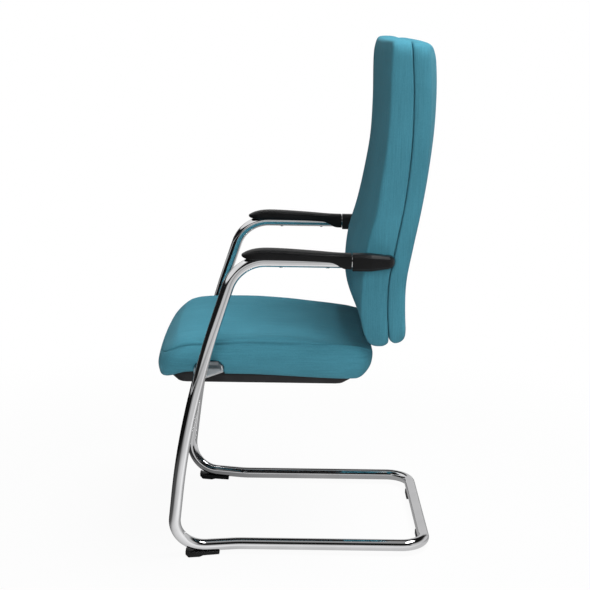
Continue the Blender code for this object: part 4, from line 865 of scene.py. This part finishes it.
def build_collars():
    sizes = bpy.context.scene.armchair_tube
    low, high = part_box("arm_collar_left")
    front, snout = low.y, high.y - 0.0015
    half_width, half_height = high.x - sizes.arm_half, (high.z - low.z) / 2
    reach = sizes.arm_half - low.x
    # place, outer and inner side, top and underside from the tube's axis, and edge chamfer
    rows = ((front - 0.0008, half_width, half_width, half_height, half_height, 0.0060),
            (front + 0.0375, half_width, half_width, half_height, half_height, 0.0070),
            (snout - 0.0110, 0.0050, reach, half_height - 0.0055, half_height - 0.0035, 0.0065),
            (snout - 0.0050, 0.0000, reach, half_height - 0.0080, half_height - 0.0060, 0.0055),
            (snout - 0.0015, -0.0050, reach, half_height - 0.0110, half_height - 0.0095, 0.0040),
            (snout, -0.0100, reach, half_height - 0.0135, half_height - 0.0125, 0.0020))
    for side, label in SIDES:
        bm = grid_block((4, len(rows), 4))
        for vert in bm.verts:
            i, j, k = (round(c) for c in vert.co)
            y, outer, inner, up, down, chamfer = rows[j]
            across = (-inner, -inner + chamfer, outer - chamfer, outer)[i]
            height = (-down, -down + chamfer, up - chamfer, up)[k]
            if i in (0, 3) and k in (0, 3):
                across += chamfer * (0.5 if i == 0 else -0.5)
                height += chamfer * (0.5 if k == 0 else -0.5)
            vert.co = (side * (sizes.arm_half + across), y, sizes.arm_z + height)
        collar = add_piece(bm, f"arm_collar_moulding_{label}", "plastic",
                           [f"arm_collar_{label}"])
        bevel(collar, 0.0012, 3, 14.0)
        settle(collar, 40)
        cut_tube_channel(collar, side)
        collar.data.set_sharp_from_angle(angle=math.radians(35))


def soften(node, name, finish, flat):
    """The packed shape with its edges rounded. Faces within flat degrees are joined first."""
    bm = bmesh.new()
    bm.from_mesh(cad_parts[node].data)
    bmesh.ops.remove_doubles(bm, verts=bm.verts, dist=1e-5)
    bmesh.ops.dissolve_limit(bm, angle_limit=math.radians(flat), verts=bm.verts, edges=bm.edges)
    piece = add_piece(bm, name, finish, [node], smooth=35)
    bevel(piece, 0.0005, 2, 40.0)


def build_glides():
    for _, label in SIDES:
        for end in ("front", "rear"):
            soften(f"{end}_glide_{label}", f"{end}_glide_moulding_{label}", "plastic",
                   2)


def build_brackets():
    for _, label in SIDES:
        soften(f"seat_bracket_{label}", f"seat_bracket_plate_{label}", "satin", 1)


# a packed piece has the finish of the first of these words that its name holds
PACKED_FINISHES = (("seat_board", "seat_board"), ("back_board", "back_board"),
                   ("seat_pan", "pan"), ("seat_cross", "chrome"), ("pad_screw", "chrome"),
                   ("bolt", "zinc"), ("", "black_steel"))


def finish_packed_pieces():
    """Finishes of the pieces whose packed shape is already right."""
    for name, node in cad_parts.items():
        if node.hide_render:
            continue
        finish = next(finish for part, finish in PACKED_FINISHES if part in name)
        node.data.materials.clear()
        node.data.materials.append(FINISHES[finish])
        if name == "seat_pan":
            node.data.shade_smooth()
            node.data.set_sharp_from_angle(angle=math.radians(28))


# Studio

# name, place, size and power of each lamp
LAMPS = (("side_light", (3.0, -0.5, 1.5), 1.2, 41.0),
         ("side_fill", (2.6, 1.2, 1.8), 1.2, 3.0),
         ("top_light", (0.2, 1.2, 3.6), 2.0, 158.0))
LAMP_TARGET = Vector((0, 0, 0.6))


def build_camera():
    studio = bpy.context.scene.armchair_studio
    yaw, pitch, roll = studio.camera_yaw, studio.camera_pitch, studio.camera_roll
    ahead = Vector((-math.cos(yaw) * math.cos(pitch), -math.sin(yaw) * math.cos(pitch),
                    -math.sin(pitch)))
    level = ahead.cross(Vector((0, 0, 1))).normalized()
    upright = level.cross(ahead)
    right = level * math.cos(roll) + upright * math.sin(roll)
    up = upright * math.cos(roll) - level * math.sin(roll)
    turn = Matrix((right, up, -ahead)).transposed()
    data = bpy.data.cameras.new("camera")
    data.sensor_width = 36.0
    data.lens = studio.focal_pixels / studio.photo_pixels * data.sensor_width
    data.clip_start, data.clip_end = 0.1, 60.0
    camera = bpy.data.objects.new("camera", data)
    camera.matrix_world = Matrix.Translation(Vector(studio.camera_place)) @ turn.to_4x4()
    bpy.context.scene.collection.objects.link(camera)
    bpy.context.scene.camera = camera


def add_lamp(name, place, size, power):
    """A soft lamp that gloss doesn't show."""
    data = bpy.data.lights.new(name, "AREA")
    data.energy = power
    data.size = size
    lamp = bpy.data.objects.new(name, data)
    lamp.location = place
    lamp.rotation_mode = "QUATERNION"
    lamp.rotation_quaternion = (LAMP_TARGET - Vector(place)).to_track_quat("-Z", "Y")
    lamp.visible_glossy = False
    bpy.context.scene.collection.objects.link(lamp)


def mix_shaders(tree, factor, first, second):
    node = tree.nodes.new("ShaderNodeMixShader")
    for slot, value in zip(node.inputs, (factor, first, second)):
        plug(tree, slot, value)
    return node.outputs[0]


def glow(tree, kind, strength):
    """White light from a Background or an Emission node."""
    node = tree.nodes.new(kind)
    node.inputs["Color"].default_value = (1, 1, 1, 1)
    plug(tree, node.inputs["Strength"], strength)
    return node.outputs[0]


def build_world(strength):
    """Even light, white to the camera, with the bright and dark zones of a studio in gloss."""
    world = bpy.data.worlds.new("studio")
    world.use_nodes = True
    bpy.context.scene.world = world
    tree = world.node_tree
    tree.nodes.clear()
    place = tree.nodes.new("ShaderNodeTexCoord")
    parts = tree.nodes.new("ShaderNodeSeparateXYZ")
    tree.links.new(place.outputs["Generated"], parts.inputs[0])
    # the direction that gloss looks in, and the zones that it meets there
    x, y, z = (Value(tree, socket) for socket in parts.outputs[:3])
    room = z.between(0.0, -0.02) * 0.40
    overhead = z.between(0.80, 0.88) * x.between(-0.42, -0.30)
    strip = x.between(0.72, 0.88) * z.between(-0.02, 0.0) * z.between(0.28, 0.22) * 0.60
    far_wall = x.between(-0.70, -0.85) * z.between(0.0, 0.02) * z.between(0.55, 0.42) * 0.58
    side_wall = y.between(0.55, 0.75) * z.between(0.60, 0.30) * 0.6
    front_box = y.between(-0.30, -0.45) * z.between(0.38, 0.45) * 0.85
    walls = room + overhead * 0.32 + strip + far_wall + side_wall + front_box + 0.01
    spot = z.between(0.82, 0.88) * y.between(0.26, 0.36) * x.between(-0.30, -0.15) * 12.0
    even, mirrored, seen = (glow(tree, "ShaderNodeBackground", level)
                            for level in (strength, walls + spot, 1.0))
    rays = tree.nodes.new("ShaderNodeLightPath").outputs
    lit = mix_shaders(tree, rays["Is Glossy Ray"], even, mirrored)
    output = tree.nodes.new("ShaderNodeOutputWorld")
    tree.links.new(mix_shaders(tree, rays["Is Camera Ray"], lit, seen), output.inputs["Surface"])


def build_floor():
    """A pale floor that keeps the soft shadow and is white to the camera elsewhere."""
    bm = bmesh.new()
    bmesh.ops.create_grid(bm, x_segments=1, y_segments=1, size=9.0)
    mesh = bpy.data.meshes.new("studio_floor")
    bm.to_mesh(mesh)
    bm.free()
    floor = bpy.data.objects.new("studio_floor", mesh)
    bpy.context.scene.collection.objects.link(floor)
    paper = Finish("studio_paper", Roughness=0.95, Base_Color=(0.60, 0.60, 0.60, 1.0),
                   Specular_IOR_Level=0.0)
    tree = paper.tree
    white, black = (glow(tree, "ShaderNodeEmission", level) for level in (1.0, 0.0))
    spot = paper.node("ShaderNodeSeparateXYZ", Vector=paper.place())
    x, y = (Value(tree, socket) for socket in spot.outputs[:2])
    # painted reflection, which gloss sees instead of the lit floor: pale by the chair and darker
    # just under it, a dark flag painted in front, a white card painted far behind and a bright
    # strip
    painted_flag = y.between(-0.26, -0.42) * (y + x * 0.68).between(-0.04, -0.20)
    depth = 0.80 + 0.18 * y.between(-0.70, -1.10)
    fade = (y + x * 0.30).between(0.05, -0.35)
    painted_card = x.between(-0.70, -0.90) * y.between(-0.25, -0.15)
    beside = x.between(0.22, 0.30) * x.between(0.75, 0.50)
    line = y - x * 2.75
    strip = line.between(-1.35, -1.15) * line.between(-0.80, -1.00)
    pale = (0.62 - 0.24 * x.between(2.0, 3.4) + 0.60 * painted_card + 0.20 * beside
            - 0.27 * x.between(0.20, 0.10) + 0.25 * strip)
    mirrored = mix_shaders(tree, pale * (1.0 - 0.55 * fade) * (1.0 - depth * painted_flag), black, white)
    # glossy rays meet the painted reflection's glow in place of the lit paper
    rays = paper.node("ShaderNodeLightPath").outputs
    lit = mix_shaders(tree, rays["Is Glossy Ray"], paper.shader.outputs[0], mirrored)
    # the camera sees white, apart from a little of the shadow close to the chair
    away = paper.value("ShaderNodeVectorMath", 1, {"operation": "LENGTH"},
                       Vector=paper.place()).between(0.7, 1.6)
    share = Value(tree, rays["Is Camera Ray"]) * (0.95 + away * 0.05)
    tree.links.new(mix_shaders(tree, share, lit, white),
                   tree.nodes["Material Output"].inputs["Surface"])
    mesh.materials.append(paper.material)


def build_studio():
    build_camera()
    build_world(bpy.context.scene.armchair_studio.world_strength)
    build_floor()
    for lamp in LAMPS:
        add_lamp(*lamp)
    bpy.context.scene.view_settings.view_transform = "Standard"


def operator(name, label, help_text, steps):
    """One operator class for each piece or group of like pieces."""

    def execute(self, context):
        for step in steps:
            step()
        return {"FINISHED"}

    return type(f"ARMCHAIR_OT_{name}", (bpy.types.Operator,), {
        "__doc__": help_text, "bl_idname": f"armchair.{name}", "bl_label": label,
        "bl_options": {"REGISTER", "UNDO"}, "execute": execute})


OPERATORS = (
    operator("studio", "Studio", "Adds the camera, floor and lights", [build_studio]),
    operator("finishes", "Finishes", "Makes the materials", [make_finishes]),
    operator("tube", "Chromed tube", "Sweeps the smooth frame tube", [build_tube]),
    operator("seat", "Seat upholstery", "Builds the padded seat", [build_seat]),
    operator("back", "Back upholstery", "Builds both halves of the backrest", [build_back]),
    operator("pads", "Arm pads", "Builds the arm pads", [build_pads]),
    operator("collars", "Arm collars", "Builds the collars at the tube ends", [build_collars]),
    operator("glides", "Glides", "Rounds the glides", [build_glides]),
    operator("brackets", "Seat brackets", "Softens the seat brackets", [build_brackets]),
    operator("hidden", "Boards and fasteners", "Finishes the pieces kept as packed",
             [finish_packed_pieces]),
)


class ARMCHAIR_PT_panel(bpy.types.Panel):
    """Lists the armchair's pieces"""

    bl_label = "Visitor Armchair"
    bl_idname = "ARMCHAIR_PT_panel"
    bl_space_type = "VIEW_3D"
    bl_region_type = "UI"
    bl_category = "Armchair"

    def draw(self, context):
        for group in (context.scene.armchair_tube, context.scene.armchair_covers,
                      context.scene.armchair_colours, context.scene.armchair_studio):
            for name in group.__annotations__:
                self.layout.prop(group, name)
        for item in OPERATORS:
            self.layout.operator(item.bl_idname)


GROUPS = (("armchair_tube", TubeSizes), ("armchair_covers", CoverSizes),
          ("armchair_colours", FinishColours), ("armchair_studio", StudioSizes))


def register():
    for name, group in GROUPS:
        bpy.utils.register_class(group)
        setattr(bpy.types.Scene, name, PointerProperty(type=group))
    for item in (*OPERATORS, ARMCHAIR_PT_panel):
        bpy.utils.register_class(item)


def unregister():
    for item in (ARMCHAIR_PT_panel, *reversed(OPERATORS)):
        bpy.utils.unregister_class(item)
    for name, group in reversed(GROUPS):
        delattr(bpy.types.Scene, name)
        bpy.utils.unregister_class(group)


def main():
    register()
    for item in OPERATORS:
        group, name = item.bl_idname.split(".")
        getattr(getattr(bpy.ops, group), name)()


if __name__ == "__main__":
    main()
